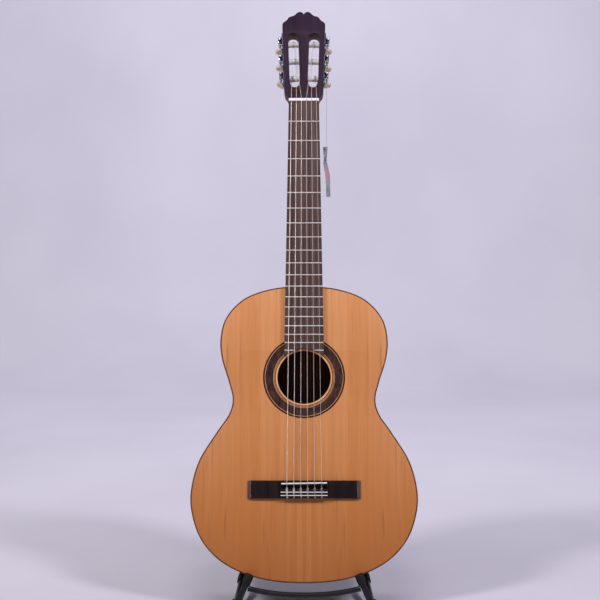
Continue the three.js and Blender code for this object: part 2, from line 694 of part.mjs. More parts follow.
function backrestPad() {
  const { radius, halfLength } = PAD;
  const bore = TUBE + GAP;
  const round = 3;
  const profile = [[bore, halfLength], [bore, -halfLength], [radius - round, -halfLength],
    [radius, round - halfLength], [radius, halfLength - round], [radius - round, halfLength],
    [bore, halfLength]];
  return lathe(profile, 16).rotateZ(Math.PI / 2).translate(0, EDGE_Y + APEX.y, APEX.z);
}

function buildStand(root) {
  const bar = at(0, APEX.y, APEX.z);
  const barEnd = UPRIGHT.endX - GAP;
  Object.entries(SIDES).forEach(([name, side]) => {
    const points = sideTubePoints(side);
    add(root, `${name}_side_tube`, tube(points, TUBE), POWDER_COAT);
    add(root, `${name}_boot`, boot(side), RUBBER);
    add(root, `${name}_rail_sleeve`, railSleeve(side), RUBBER);
    add(root, `${name}_front_foot`, footBlock(side * railX(FRONT_FOOT_Y), FRONT_FOOT_Y, points), RUBBER);
    add(root, `${name}_rear_foot`, footBlock(side * REAR.footX, REAR.y, rearPoints(), true), RUBBER);
  });
  add(root, 'bow_tube', tube(bowPoints(), BOW.radius), POWDER_COAT);
  add(root, 'backrest_bar', rodX(TUBE, -barEnd, barEnd, bar.y, bar.z, 12), POWDER_COAT);
  add(root, 'backrest_pad', backrestPad(), FOAM);
  add(root, 'rear_frame', rearFrame(), POWDER_COAT);
}

// ---- Hang tag ----
function tagShape() {
  const half = TAG.width / 2;
  const shape = new THREE.Shape();
  shape.moveTo(-half, -TAG.height);
  shape.lineTo(half, -TAG.height);
  shape.lineTo(half, -TAG.pinch - 8);
  shape.quadraticCurveTo(half, -TAG.pinch - 3, 1.5, -TAG.pinch);
  shape.quadraticCurveTo(half - 0.5, -TAG.pinch + 4, half - 0.5, -TAG.pinch + 9);
  shape.lineTo(half - 1.5, 0);
  shape.lineTo(1.5 - half, 0);
  shape.lineTo(0.5 - half, -TAG.pinch + 9);
  shape.quadraticCurveTo(0.5 - half, -TAG.pinch + 4, -1.5, -TAG.pinch);
  shape.quadraticCurveTo(-half, -TAG.pinch - 3, -half, -TAG.pinch - 8);
  return shape;
}

// The thread hangs straight down from the lowest worm shaft on the treble side, the tag below it
function buildTag(root, head) {
  const place = head.children.find((child) => child.isGroup && child.position.x > 0);
  root.updateMatrixWorld(true);
  const shaft = new THREE.Vector3(WORM.out, THREAD.depth, rollerZ(0) + WORM.offset);
  shaft.applyMatrix4(place.matrixWorld);
  const top = shaft.clone().add(new THREE.Vector3(0, 0, -WORM.shaft - 2 * GAP));
  const low = top.clone().add(new THREE.Vector3(0, 0, -THREAD.length));
  add(root, 'tag_thread', tube([top, low], THREAD.radius, 8), CLEAR_FILM);
  const tag = plate(tagShape(), -TAG.thickness / 2, TAG.thickness, 3).rotateY(-TAG.slant);
  add(root, 'hang_tag', tag.translate(low.x, low.y, low.z - GAP), CLEAR_FILM);
}

// ---- Assembly ----
const root = new THREE.Group();
const guitar = frame(root, 0, EDGE_Y, EDGE_Z, -LEAN);
const head = frame(guitar, 0, 0, NUT_Z, -HEAD_TILT);

buildBody(guitar);
buildBridge(guitar);
buildNeck(guitar);
buildHead(head);
buildStrings(guitar, head);
buildStand(root);
buildTag(root, head);

export default root;
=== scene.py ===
"""A classical guitar on a low folding tube stand: its visible surfaces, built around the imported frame.

Shapes are worked out in millimetres in named frames, and each piece is placed in the shared frame in metres.
The guitar frame has x across, y into the body from the soundboard's face, z up from the body's bottom edge.
The head frame is the same, turned back with the head, its z running up the head from the nut.
"""

from math import asin, cos, exp, pi, radians, sin, sqrt, tan

import bmesh
import bpy
from mathutils import Matrix, Vector, noise
from mathutils.geometry import tessellate_polygon


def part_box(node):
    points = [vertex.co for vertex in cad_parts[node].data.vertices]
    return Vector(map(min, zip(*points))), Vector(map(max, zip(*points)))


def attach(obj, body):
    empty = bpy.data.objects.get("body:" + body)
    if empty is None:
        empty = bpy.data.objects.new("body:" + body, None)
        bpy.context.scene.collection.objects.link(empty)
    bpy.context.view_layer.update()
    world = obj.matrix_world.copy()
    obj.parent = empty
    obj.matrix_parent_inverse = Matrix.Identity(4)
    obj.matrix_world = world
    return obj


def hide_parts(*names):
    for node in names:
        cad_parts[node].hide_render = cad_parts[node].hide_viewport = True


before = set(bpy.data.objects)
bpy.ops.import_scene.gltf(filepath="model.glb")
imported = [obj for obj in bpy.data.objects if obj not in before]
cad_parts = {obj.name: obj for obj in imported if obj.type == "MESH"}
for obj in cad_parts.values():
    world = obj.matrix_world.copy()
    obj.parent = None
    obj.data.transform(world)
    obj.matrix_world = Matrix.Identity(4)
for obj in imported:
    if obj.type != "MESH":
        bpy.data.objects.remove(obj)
scene = bpy.context.scene
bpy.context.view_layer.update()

SIDES = {"left": -1, "right": 1}
ROWS = (0, 1, 2)

# ---- Driving dimensions, in millimetres ----
LEAN = radians(15)
HEAD_TILT = radians(12)
EDGE_Y, EDGE_Z = -147.5, 45.0
BODY_LENGTH, BODY_DEPTH = 484.0, 96.0
HALF_OUTLINE = [
    (0, 0), (50, 3.2), (96, 14.5), (137, 36.5), (166, 68.5), (181, 108), (183.8, 142), (172, 192),
    (143, 240.5), (122.2, 272), (117.2, 294), (123.8, 323), (135.6, 361), (138.8, 392), (130.5, 429),
    (101, 462), (54, 479.8), (0, BODY_LENGTH),
]
OUTLINE_STEPS = 8
BINDING = 2.2
BOARD = 2.6
HOLE_Z, HOLE_R = 331.0, 44.0
NUT_Z, SCALE = 808.0, 650.0
NUT_HALF, JOINT_HALF = 26.0, 31.0
BOARD_FACE = -6.8
BRIDGE_Z, BRIDGE_HEIGHT, BRIDGE_HALF, BRIDGE_CENTRE = 133.5, 28.8, 91.5, 38.0
TIE_BLOCK = 15.0
SADDLE_Z, SADDLE_SLANT = 157.4, radians(1.05)
DIAMETERS = (1.1, 0.9, 0.75, 1.02, 0.82, 0.71)
NUT_PITCH, BRIDGE_PITCH = 8.66, 11.2
NUT_TOP, SADDLE_TOP = -8.95, -13.4
HEAD_MIDDLE, HEAD_HALF, HEAD_TAPER = 94.0, 36.2, radians(1.76)
ROLLER_FIRST, ROLLER_PITCH, ROLLER_R, ROLLER_DEPTH = 53.5, 35.7, 5.0, 10.0
ROLLER_X = (21.0, 13.5, 17.0)
WORM_OFFSET, WORM_OUT, WORM_LEAD = 9.2, 4.9, 3.0
BUTTON_TURNS = {"left": (35, 6, -8), "right": (-12, 20, 5)}
TUBE = 5.0
RAIL_BACK_X, RAIL_FRONT_X, RAIL_FRONT_Y = 102.0, 109.5, -16.0
RAIL_Y, RAIL_Z, RAIL_SLOPE = 98.5, 27.8, radians(9.8)
APEX_Y, APEX_Z = 152.8, 196.8
HOOK_X, HOOK_Y, HOOK_Z = 87.5, -9.0, 59.5
BOW_X, BOW_Y, BOW_Z, BOW_END_Z, BOW_R = 89.5, -11.5, 29.5, 40.5, 4.3
UPRIGHT_GAP = 12.3
BAR_X, CORNER_X, HINGE_X = 78.0, 92.0, 62.0
SLEEVE_FRONT_Y, SLEEVE_BACK_Y = 78.0, 101.0
FRONT_FOOT_X, FRONT_FOOT_Y, REAR_FOOT_X = 108.4, 2.0, 42.0
REAR_X, REAR_Y, REAR_Z = 68.0, 225.0, 9.5

# ---- Camera: its lens in millimetres, and its place from the guitar's middle in metres ----
LENS = 72.66
CAMERA_OFFSET = (-0.0067, -2.0163, 0.135)
GUITAR_MIDDLE = 459.0
DROP = radians(3.782)

MM = Matrix.Scale(0.001, 4)


def moved(x=0.0, y=0.0, z=0.0):
    return Matrix.Translation((x, y, z))


def turned(angle, axis):
    return Matrix.Rotation(angle, 4, axis)


GUITAR = MM @ moved(0, EDGE_Y, EDGE_Z) @ turned(-LEAN, "X")
HEAD = GUITAR @ moved(z=NUT_Z) @ turned(-HEAD_TILT, "X")


def side_frame(side):
    return HEAD @ moved(side * HEAD_HALF, 0, HEAD_MIDDLE) @ turned(side * HEAD_TAPER, "Y")


def angles(end, steps):
    """Evenly spaced angles from 0 to end, both included."""
    return [end * k / steps for k in range(steps + 1)]


def around(sides):
    """One angle for each side of a full turn."""
    return angles(2 * pi, sides)[:-1]


# ---- Shapes: (points, faces), in millimetres ----
def shifted(shape, matrix):
    return [matrix @ Vector(p) for p in shape[0]], shape[1]


def together(*shapes):
    points, faces = [], []
    for shape in shapes:
        start = len(points)
        points += list(shape[0])
        faces += [[start + i for i in face] for face in shape[1]]
    return points, faces


def loft(rings):
    """A closed skin over rings of equally many points, capped at both ends."""
    count = len(rings[0])
    points = [p for ring in rings for p in ring]
    faces = [list(range(count))[::-1]]
    for r in range(len(rings) - 1):
        for i in range(count):
            j = (i + 1) % count
            faces.append([r * count + i, r * count + j, (r + 1) * count + j, (r + 1) * count + i])
    faces.append(list(range((len(rings) - 1) * count, len(rings) * count)))
    return points, faces


def sweep(points, radius, sides=16):
    """A tube along points. radius is a number, or one for each point."""
    points = [Vector(p) for p in points]
    last = len(points) - 1
    radii = [radius] * len(points) if isinstance(radius, (int, float)) else radius
    tangents = [(points[min(i + 1, last)] - points[max(i - 1, 0)]).normalized() for i in range(last + 1)]
    normal = tangents[0].orthogonal().normalized()
    rings = []
    for point, tangent, r in zip(points, tangents, radii):
        normal = (normal - tangent * normal.dot(tangent)).normalized()
        across = tangent.cross(normal)
        rings.append([point + r * (cos(a) * normal + sin(a) * across) for a in around(sides)])
    return loft(rings)


def spin(profile, sides=24):
    """A solid of revolution about z from (radius, height) pairs, closed with a disc at each end."""
    return loft([[Vector((r * cos(a), r * sin(a), h)) for a in around(sides)] for r, h in profile])


def ring_of(profile, sides=32):
    """A hollow solid of revolution about z from a closed (radius, height) loop."""
    points, faces = [], []
    count = len(profile)
    for i, a in enumerate(around(sides)):
        points += [Vector((r * cos(a), r * sin(a), h)) for r, h in profile]
        for j in range(count):
            k = (j + 1) % count
            nxt = ((i + 1) % sides) * count
            faces.append([i * count + j, i * count + k, nxt + k, nxt + j])
    return points, faces


def area_of(loop):
    return 0.5 * sum(a[0] * b[1] - b[0] * a[1] for a, b in zip(loop, loop[1:] + loop[:1]))


def shrunk(loop, distance):
    """The loop moved to its left by distance."""
    result = []
    for before, here, after in zip(loop[-1:] + loop[:-1], loop, loop[1:] + loop[:1]):
        first = (Vector(here) - Vector(before)).normalized()
        second = (Vector(after) - Vector(here)).normalized()
        normal = Vector((-first.y - second.y, first.x + second.x))
        if normal.length < 1e-6:
            normal = Vector((-first.y, first.x))
        normal.normalize()
        reach = distance / max(0.6, normal.dot(Vector((-first.y, first.x))))
        result.append(Vector(here) + reach * normal)
    return result


def plate(loops, front, depth, rounding=0.3, steps=3):
    """A flat piece in x and z, cut to the first loop less the others, its edges rounded over."""
    loops = [[Vector(p) for p in loop] for loop in loops]
    for i, loop in enumerate(loops):
        if (area_of(loop) > 0) != (i == 0):
            loop.reverse()
    front_half = [(rounding * (1 - sin(a)), front + rounding * (1 - cos(a)))
                  for a in angles(pi / 2, steps)]
    back_half = [(inset, 2 * front + depth - y) for inset, y in reversed(front_half)]
    levels = front_half + back_half
    points, faces, starts = [], [], []
    for loop in loops:
        start = len(points)
        starts.append(start)
        for inset, y in levels:
            points += [Vector((p.x, y, p.y)) for p in shrunk(loop, inset)]
        count = len(loop)
        for level in range(len(levels) - 1):
            for i in range(count):
                j = (i + 1) % count
                low, high = start + level * count, start + (level + 1) * count
                faces.append([low + i, low + j, high + j, high + i])
    for level, flip in ((0, False), (len(levels) - 1, True)):
        caps, index = [], []
        for loop, start in zip(loops, starts):
            first = start + level * len(loop)
            caps.append([Vector((points[first + i].x, points[first + i].z, 0)) for i in range(len(loop))])
            index += range(first, first + len(loop))
        for triangle in tessellate_polygon(caps):
            faces.append([index[i] for i in (reversed(triangle) if flip else triangle)])
    return points, faces


def rounded_box(low, high, rounding=0.5, steps=2):
    mesh = bmesh.new()
    size = [b - a for a, b in zip(low, high)]
    middle = [(a + b) / 2 for a, b in zip(low, high)]
    bmesh.ops.create_cube(mesh, size=1, matrix=moved(*middle) @ Matrix.Diagonal((*size, 1)))
    bmesh.ops.bevel(mesh, geom=mesh.edges[:], offset=rounding, segments=steps, profile=0.5, affect="EDGES")
    shape = [v.co.copy() for v in mesh.verts], [[v.index for v in f.verts] for f in mesh.faces]
    mesh.free()
    return shape


def mesh_of(name, shape, matrix):
    mesh = bpy.data.meshes.new(name)
    mesh.from_pydata([matrix @ Vector(p) for p in shape[0]], [], shape[1])
    work = bmesh.new()
    work.from_mesh(mesh)
    bmesh.ops.remove_doubles(work, verts=work.verts, dist=1e-7)
    bmesh.ops.recalc_face_normals(work, faces=work.faces)
    work.to_mesh(mesh)
    work.free()
    return mesh


def linked(name, data):
    obj = bpy.data.objects.new(name, data)
    scene.collection.objects.link(obj)
    return obj


def carved(shape, *tools):
    """The shape less the tools, by boolean modifiers."""
    body = linked("carve", mesh_of("carve", shape, Matrix()))
    helpers = [body]
    for tool in tools:
        helper = linked("tool", mesh_of("tool", tool, Matrix()))
        helpers.append(helper)
        cut = body.modifiers.new("cut", "BOOLEAN")
        cut.operation = "DIFFERENCE"
        cut.solver = "EXACT"
        cut.object = helper
    mesh = bpy.data.meshes.new_from_object(body.evaluated_get(bpy.context.evaluated_depsgraph_get()))
    result = [v.co.copy() for v in mesh.vertices], [list(f.vertices) for f in mesh.polygons]
    for helper in helpers:
        bpy.data.objects.remove(helper)
    return result


def piece(name, shape, look, node=None, body="guitar", matrix=GUITAR, sharp=38):
    """A named object from a shape, smooth except at its sharp edges, riding on a body."""
    mesh = mesh_of(name, shape, matrix)
    mesh.polygons.foreach_set("use_smooth", [True] * len(mesh.polygons))
    mesh.set_sharp_from_angle(angle=radians(sharp))
    mesh.materials.append(look.material)
    obj = linked(name, mesh)
    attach(obj, body)
    if node:
        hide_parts(node)
    return obj


def circle(radius, x=0.0, z=0.0, sides=96):
    return [(x + radius * cos(a), z + radius * sin(a)) for a in around(sides)]


def quad(start, control, end, steps=8):
    """Points after start along a quadratic curve."""
    return [tuple((1 - t) ** 2 * a + 2 * t * (1 - t) * b + t * t * c for a, b, c in zip(start, control, end))
            for t in (i / steps for i in range(1, steps + 1))]


def bent(corners, reach, steps=10):
    """Straight runs between corners, each corner rounded from reach before it to reach after it."""
    corners = [Vector(c) for c in corners]
    points = [corners[0]]
    for before, here, after in zip(corners, corners[1:], corners[2:]):
        start = here + (before - here).normalized() * reach
        end = here + (after - here).normalized() * reach
        points += [start] + [Vector(p) for p in quad(start, here, end, steps)]
    return points + [corners[-1]]


# ---- Materials: colours are given as 0 to 255 values ----
def linear(colour, share=1.0):
    """A share of the colour's light, as linear values with alpha."""
    parts = [c / 12.92 if c <= 0.04045 else ((c + 0.055) / 1.055) ** 2.4 for c in (v / 255 for v in colour)]
    return (*(share * c for c in parts), 1)


class Finish:
    """A node material and the record's slot for it. Constant values sit on the shader's own sockets."""

    def __init__(self, name, slot, **values):
        self.slot = slot
        self.material = bpy.data.materials.new(name)
        self.material.use_nodes = True
        self.tree = self.material.node_tree
        self.shader = self.tree.nodes["Principled BSDF"]
        for key, value in values.items():
            self.shader.inputs[key.replace("_", " ")].default_value = value

    def node(self, kind, inputs=(), **settings):
        node = self.tree.nodes.new("ShaderNode" + kind)
        for key, value in settings.items():
            setattr(node, key, value)
        for key, value in dict(inputs).items():
            if isinstance(value, bpy.types.NodeSocket):
                self.tree.links.new(value, node.inputs[key])
            else:
                node.inputs[key].default_value = value
        return node

    def place(self, scale=(1, 1, 1), source=None, tilt=0.0):
        source = source or self.node("TexCoord").outputs["Object"]
        settings = {"Vector": source, "Rotation": (tilt, 0, 0), "Scale": scale}
        return self.node("Mapping", settings).outputs["Vector"]

    def parts(self, source=None):
        return self.node("SeparateXYZ", {"Vector": source or self.place()}).outputs

    def noise(self, scale, source=None, detail=4.0, distortion=0.0, tilt=0.0):
        inputs = {"Vector": self.place(scale, source, tilt), "Scale": 1.0, "Detail": detail,
                  "Distortion": distortion}
        return self.node("TexNoise", inputs).outputs["Fac"]

    def ramp(self, factor, *stops):
        ramp = self.node("ValToRGB", {"Fac": factor})
        elements = ramp.color_ramp.elements
        while len(elements) < len(stops):
            elements.new(0.5)
        for element, (place, colour) in zip(elements, stops):
            element.position = place
            element.color = linear(colour)
        return ramp.outputs["Color"]

    def grey(self, factor, low, high, start=0.3, end=0.7):
        inputs = {"Value": factor, "From Min": start, "From Max": end, "To Min": low, "To Max": high}
        return self.node("MapRange", inputs).outputs["Result"]

    def maths(self, operation, a, b=0.0):
        return self.node("Math", {0: a, 1: b}, operation=operation).outputs[0]

    def mix(self, factor, a, b):
        return self.node("Mix", {0: factor, 6: a, 7: b}, data_type="RGBA").outputs[2]

    def paint(self, socket):
        self.tree.links.new(socket, self.shader.inputs["Base Color"])

    def rough(self, factor, low, high):
        self.tree.links.new(self.grey(factor, low, high), self.shader.inputs["Roughness"])

    def bump(self, height, distance, strength=1.0):
        node = self.node("Bump", {"Height": height, "Distance": distance, "Strength": strength})
        self.tree.links.new(node.outputs["Normal"], self.shader.inputs["Normal"])


def cedar():
    """Straight, bookmatched grain, with painted shade: paler at the shoulders and darker, deeper orange
    towards the bottom, where less light falls.
    """
    look = Finish("cedar", "cedar_top", Coat_Weight=0.08, Coat_Roughness=0.2, Roughness=0.42,
                    Specular_IOR_Level=0.25)
    parts = look.parts(look.place(tilt=LEAN))
    folded = {"X": look.maths("ABSOLUTE", parts["X"]), "Y": parts["Y"], "Z": parts["Z"]}
    along = look.node("CombineXYZ", folded).outputs[0]
    fine = look.noise((1300, 1300, 15.6), along, 3)
    streaks = look.noise((95, 40, 1.4), along, 3, 0.3)
    broad = look.noise((14, 8, 0.9), along, 2)
    dashes = look.noise((150, 60, 7), along, 2)
    base = look.ramp(streaks, (0.25, (200, 136, 88)), (0.5, (215, 154, 106)), (0.75, (224, 170, 124)))
    tinted = look.mix(look.grey(broad, 0.0, 0.6, 0.35, 0.65), base, linear((203, 128, 68)))
    # Painted shade: the top turns darker and deeper orange towards the bottom, standing in for the light's
    # falloff there.
    low_painted_shade = look.mix(look.grey(look.parts()["Z"], 0.9, 0.0, 0.06, 0.40), tinted, linear((174, 103, 44)))
    lined = look.mix(look.grey(fine, 0.0, 0.24, 0.35, 0.7), low_painted_shade, linear((156, 92, 46)))
    marked = look.mix(look.grey(dashes, 0.0, 0.45, 0.62, 0.72), lined, linear((138, 80, 40)))
    seam = look.grey(look.maths("ABSOLUTE", look.parts()["X"]), 0.4, 0.0, 0.004, 0.03)
    pale = look.maths("MULTIPLY", seam, look.grey(streaks, 0.0, 1.0, 0.45, 0.65))
    look.paint(look.mix(pale, marked, linear((218, 160, 100))))
    look.bump(fine, 0.00004)
    return look


def wood(name, slot, dark, light, tilt=LEAN, rough=0.4, coat=0.08, pores=0.00006, shine=0.25):
    """Straight grained wood between two colours, with its grain up the guitar or up the head."""
    look = Finish(name, slot, Coat_Weight=coat, Coat_Roughness=0.12, Roughness=rough,
                    Specular_IOR_Level=shine)
    along = look.place(tilt=tilt)
    fine = look.noise((700, 700, 21), along)
    bands = look.noise((60, 60, 2.2), along, distortion=0.6)
    mixed = look.maths("ADD", look.maths("MULTIPLY", fine, 0.45), look.maths("MULTIPLY", bands, 0.55))
    look.paint(look.ramp(mixed, (0.36, dark), (0.64, light)))
    look.rough(fine, rough - 0.06, rough + 0.1)
    look.bump(fine, pores)
    return look


def metal(name, colour, rough, shine=1.0):
    look = Finish(name, "tuner_metal", Metallic=shine, Roughness=rough)
    marks = look.noise((700, 700, 700), detail=3)
    stain = look.noise((140, 140, 140), detail=2)
    look.paint(look.mix(look.grey(stain, 0.0, 0.35), linear(colour), linear(colour, 0.72)))
    look.rough(marks, rough - 0.04, rough + 0.08)
    return look


def moulded(name, slot, colour, rough=0.4, coat=0.0, speck=900, depth=0.00002, varied=0.15, shine=0.4):
    look = Finish(name, slot, Roughness=rough, Coat_Weight=coat, Coat_Roughness=0.1,
                    Specular_IOR_Level=shine)
    fine = look.noise((speck, speck, speck), detail=2)
    broad = look.noise((60, 60, 60), detail=2)
    look.paint(look.mix(look.grey(broad, 0.0, 1.0), linear(colour), linear(colour, 1 - varied)))
    look.rough(fine, rough - 0.06, rough + 0.08)
    look.bump(fine, depth)
    return look


def pearl():
    look = Finish("button_pearl", "button_pearl", Roughness=0.28, Coat_Weight=0.6, Coat_Roughness=0.08)
    cloud = look.noise((170, 170, 170), detail=3, distortion=1.8)
    look.paint(look.ramp(cloud, (0.3, (176, 142, 100)), (0.5, (206, 184, 150)), (0.7, (232, 218, 192))))
    return look


def wound():
    """Silver plated winding: fine turns across the string."""
    look = Finish("wound_string", "wound_string", Metallic=0.85, Roughness=0.38)
    inputs = {"Vector": look.place(tilt=LEAN), "Scale": 900.0, "Distortion": 0.0}
    turns = look.node("TexWave", inputs, wave_type="BANDS", bands_direction="Z").outputs["Fac"]
    look.paint(look.ramp(turns, (0.0, (196, 180, 168)), (1.0, (252, 244, 236))))
    look.bump(turns, 0.00005)
    return look


def nylon():
    look = Finish("nylon_string", "nylon_string", Roughness=0.2, Transmission_Weight=0.3, IOR=1.45,
                    Alpha=0.6)
    cloud = look.noise((400, 400, 40), detail=2)
    look.paint(look.ramp(cloud, (0.3, (204, 192, 182)), (0.7, (236, 226, 216))))
    return look


def band():
    """The rosette's dark band: rosewood with short streaks that run up the guitar."""
    look = Finish("rosette_band", "rosette_inlay", Roughness=0.4, Coat_Weight=0.04, Coat_Roughness=0.14,
                    Specular_IOR_Level=0.2)
    streaks = look.noise((160, 60, 60), distortion=1.2, tilt=LEAN)
    look.paint(look.ramp(streaks, (0.3, (36, 24, 23)), (0.5, (58, 38, 37)), (0.72, (94, 54, 42))))
    look.bump(streaks, 0.00003)
    return look


def foam():
    look = Finish("stand_foam", "stand_foam", Roughness=0.95, Sheen_Weight=0.25)
    inputs = {"Vector": look.place(), "Scale": 900.0}
    cells = look.node("TexVoronoi", inputs).outputs["Distance"]
    broad = look.noise((90, 90, 90), detail=3)
    look.paint(look.ramp(broad, (0.3, (24, 24, 27)), (0.7, (38, 38, 42))))
    look.bump(cells, 0.0002, 0.8)
    return look


def film():
    """Grey translucent film, with painted shade and highlights of crinkles at its top, and a plain pink patch
    that stops short of its edges.
    """
    look = Finish("tag_film", "clear_film", Roughness=0.3, Alpha=0.86, Coat_Weight=0.2)
    parts = look.parts()
    low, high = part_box("hang_tag")
    rise = look.maths("SUBTRACT", parts["Z"], low[2] + 0.46 * (high[2] - low[2]))
    slanted = look.maths("ADD", parts["X"], look.maths("MULTIPLY", rise, 0.17))
    aside = look.maths("ABSOLUTE", look.maths("SUBTRACT", slanted, 0.5 * (low[0] + high[0])))
    patch = look.maths("MULTIPLY", look.grey(look.maths("ABSOLUTE", rise), 0.75, 0.0, 0.007, 0.012),
                         look.grey(aside, 1.0, 0.0, 0.0022, 0.0032))
    cloud = look.noise((120, 120, 60), detail=3)
    creases = look.noise((420, 420, 260), detail=3, distortion=1.5)
    grey = look.ramp(cloud, (0.3, (132, 128, 138)), (0.7, (178, 174, 184)))
    # Painted shade in the creases and painted highlights on the ridges between them.
    crinkle_shade_and_glint = look.ramp(creases, (0.4, (38, 42, 44)), (0.5, (112, 112, 118)), (0.62, (216, 214, 220)))
    top = look.grey(parts["Z"], 0.0, 0.85, high[2] - 0.034, high[2] - 0.024)
    look.paint(look.mix(patch, look.mix(top, grey, crinkle_shade_and_glint), linear((208, 138, 154))))
    return look


CEDAR = cedar()
MAHOGANY = wood("body_wood", "body_wood", (74, 36, 22), (126, 68, 40), rough=0.42, coat=0.15, shine=0.3)
HEAD_WOOD = wood("head_wood", "body_wood", (52, 21, 18), (92, 38, 30), LEAN + HEAD_TILT, rough=0.42)
SPRUCE = wood("inner_spruce", "inner_spruce", (190, 158, 112), (222, 194, 148), rough=0.7, coat=0, shine=0.4)
BOARD_WOOD = wood("board_rosewood", "rosewood", (56, 41, 40), (96, 73, 71), rough=0.5, coat=0, pores=0.00012,
                  shine=0.2)
BRIDGE_WOOD = wood("bridge_rosewood", "rosewood", (18, 10, 10), (38, 23, 24), rough=0.36, coat=0.06)
# Painted reflection: the wing ends' bevels are paler than the rest of the bridge, for the light they catch.
BRIDGE_END_SHEEN = wood("bridge_end_painted_sheen", "rosewood", (62, 48, 42), (104, 84, 74), coat=0.06, shine=0.4)
# Dark rosewood, with a purple tint that is a painted reflection of the lavender room.
VENEER = wood("head_veneer", "rosewood", (36, 22, 36), (52, 34, 54), LEAN + HEAD_TILT, rough=0.5, coat=0.02,
              shine=0.12)
EDGE_WOOD = wood("binding_wood", "rosewood", (74, 38, 24), (112, 62, 40))
RING_LIGHT = wood("ring_light", "rosette_inlay", (206, 142, 94), (236, 176, 124))
RING_DARK = wood("ring_dark", "rosette_inlay", (40, 27, 24), (60, 40, 34), coat=0.05, shine=0.2)
BAND = band()
BONE = moulded("bone", "bone", (232, 230, 232), rough=0.35, coat=0.2, speck=500, varied=0.08)
CHROME = metal("tuner_metal", (212, 218, 226), 0.22)
# Paler, part diffuse metal for the worm caps: a painted highlight.
CAP_PAINTED_GLINT = metal("tuner_cap_painted_glint", (236, 240, 244), 0.3, 0.75)
DARK_METAL = metal("tuner_dark", (56, 60, 66), 0.26)
BRASS = metal("gear_metal", (190, 192, 198), 0.24)
NICKEL = metal("fret_metal", (250, 244, 240), 0.42, 0.7)
ROLLER_WHITE = moulded("roller_white", "roller_white", (222, 220, 226), rough=0.35, varied=0.06)
PEARL = pearl()
WOUND = wound()
NYLON = nylon()
POWDER = moulded("stand_tube", "stand_tube", (22, 22, 27), coat=0.05, speck=1500, depth=0.00004, varied=0.2,
                 shine=0.3)
RUBBER = moulded("stand_rubber", "stand_rubber", (19, 19, 23), rough=0.6, speck=1100, depth=0.00005,
                 varied=0.25, shine=0.25)
FOAM = foam()
FILM = film()
THREAD = moulded("clear_thread", "clear_film", (206, 204, 214), rough=0.25, coat=0.4, varied=0.1)


# ---- Camera, light and stage ----
def aim(obj, place, at):
    obj.location = place
    obj.rotation_euler = (Vector(at) - Vector(place)).to_track_quat("-Z", "Y").to_euler()


def build_camera():
    """The photograph's view: level with the neck, a little to the left, looking slightly down."""
    data = bpy.data.cameras.new("camera")
    data.lens = LENS
    data.sensor_width = 36
    place = GUITAR @ Vector((0, 0, GUITAR_MIDDLE)) + Vector(CAMERA_OFFSET)
    camera = linked("camera", data)
    aim(camera, place, place + Vector((0, cos(DROP), -sin(DROP))))
    scene.camera = camera


def lamp(name, place, at, size, power, colour):
    data = bpy.data.lights.new(name, "AREA")
    data.shape = "RECTANGLE"
    data.size, data.size_y = size
    data.energy = power
    data.color = colour
    aim(linked(name, data), place, at)


def build_lights():
    lamp("left_softbox", (-1.8, -1.3, 2.0), (0, 0, 0.8), (0.45, 0.5), 41, (1.0, 0.96, 0.93))
    lamp("right_softbox", (1.8, -1.3, 2.0), (0, 0, 0.8), (0.45, 0.5), 41, (0.98, 0.96, 1.0))
    lamp("top_softbox", (0, -1.3, 2.5), (0, 0, 0.9), (1.0, 0.5), 12, (0.98, 0.96, 1.0))
    lamp("wall_light", (0, 0.9, 2.6), (0, 3.4, 0.9), (4.0, 1.0), 70, (0.95, 0.95, 1.0))
    world = bpy.data.worlds.new("studio")
    world.use_nodes = True
    background = world.node_tree.nodes["Background"]
    background.inputs["Color"].default_value = (0.62, 0.60, 0.72, 1)
    background.inputs["Strength"].default_value = 0.16
    scene.world = world
    scene.view_settings.view_transform = "Standard"


def build_stage():
    """A pale floor that curves up into a far backdrop."""
    half, near, far, height, bend = 6.0, -4.0, 3.4, 5.0, 1.2
    profile = [(near, 0.0)]
    profile += [(far - bend + bend * sin(a), bend - bend * cos(a)) for a in angles(pi / 2, 12)]
    profile.append((far, height))
    points = [Vector((x, y, z)) for y, z in profile for x in (-half, half)]
    faces = [[2 * i, 2 * i + 1, 2 * i + 3, 2 * i + 2] for i in range(len(profile) - 1)]
    mesh = bpy.data.meshes.new("backdrop")
    mesh.from_pydata(points, [], faces)
    mesh.polygons.foreach_set("use_smooth", [True] * len(faces))
    look = Finish("backdrop", None, Roughness=0.9)
    cloth = look.noise((1.2, 1.2, 0.9))
    look.paint(look.ramp(cloth, (0.3, (196, 192, 206)), (0.7, (208, 205, 217))))
    mesh.materials.append(look.material)
    stage = linked("backdrop", mesh)


# ---- Hang tag: its thread is the one free cord ----
THREAD_LENGTH, THREAD_DIAMETER = 117.5, 0.6


def tag_shape():
    """A folded film strip: wide at its top, twisted to a narrow neck, then bowed sideways to its foot."""
    spine = [(0, -2.2, 4.2), (-6, -2.2, 3.8), (-12, -2.2, 3.3), (-18, -2.2, 2.6), (-22, -2.3, 2.5),
             (-26, -2.4, 3.2), (-31, -1.8, 3.6), (-37, -0.6, 3.9), (-45, 1.0, 4.2), (-52, 2.0, 4.2),
             (-60, 2.6, 4.0), (-74, 3.0, 3.8), (-88, 3.2, 3.7)]
    section = ((-1, -0.4), (-0.5, -1), (0.5, -1), (1, -0.4), (1, 0.4), (0.5, 1), (-0.5, 1), (-1, 0.4))
    rings = []
    for z, x, half in spine:
        depth = 0.24 + 0.35 * (1 - half / 4.4)
        curl = 0.5 * sin(z / 9)
        rings.append([Vector((x + half * a, curl + b * depth, z)) for a, b in section])
    return loft(rings)


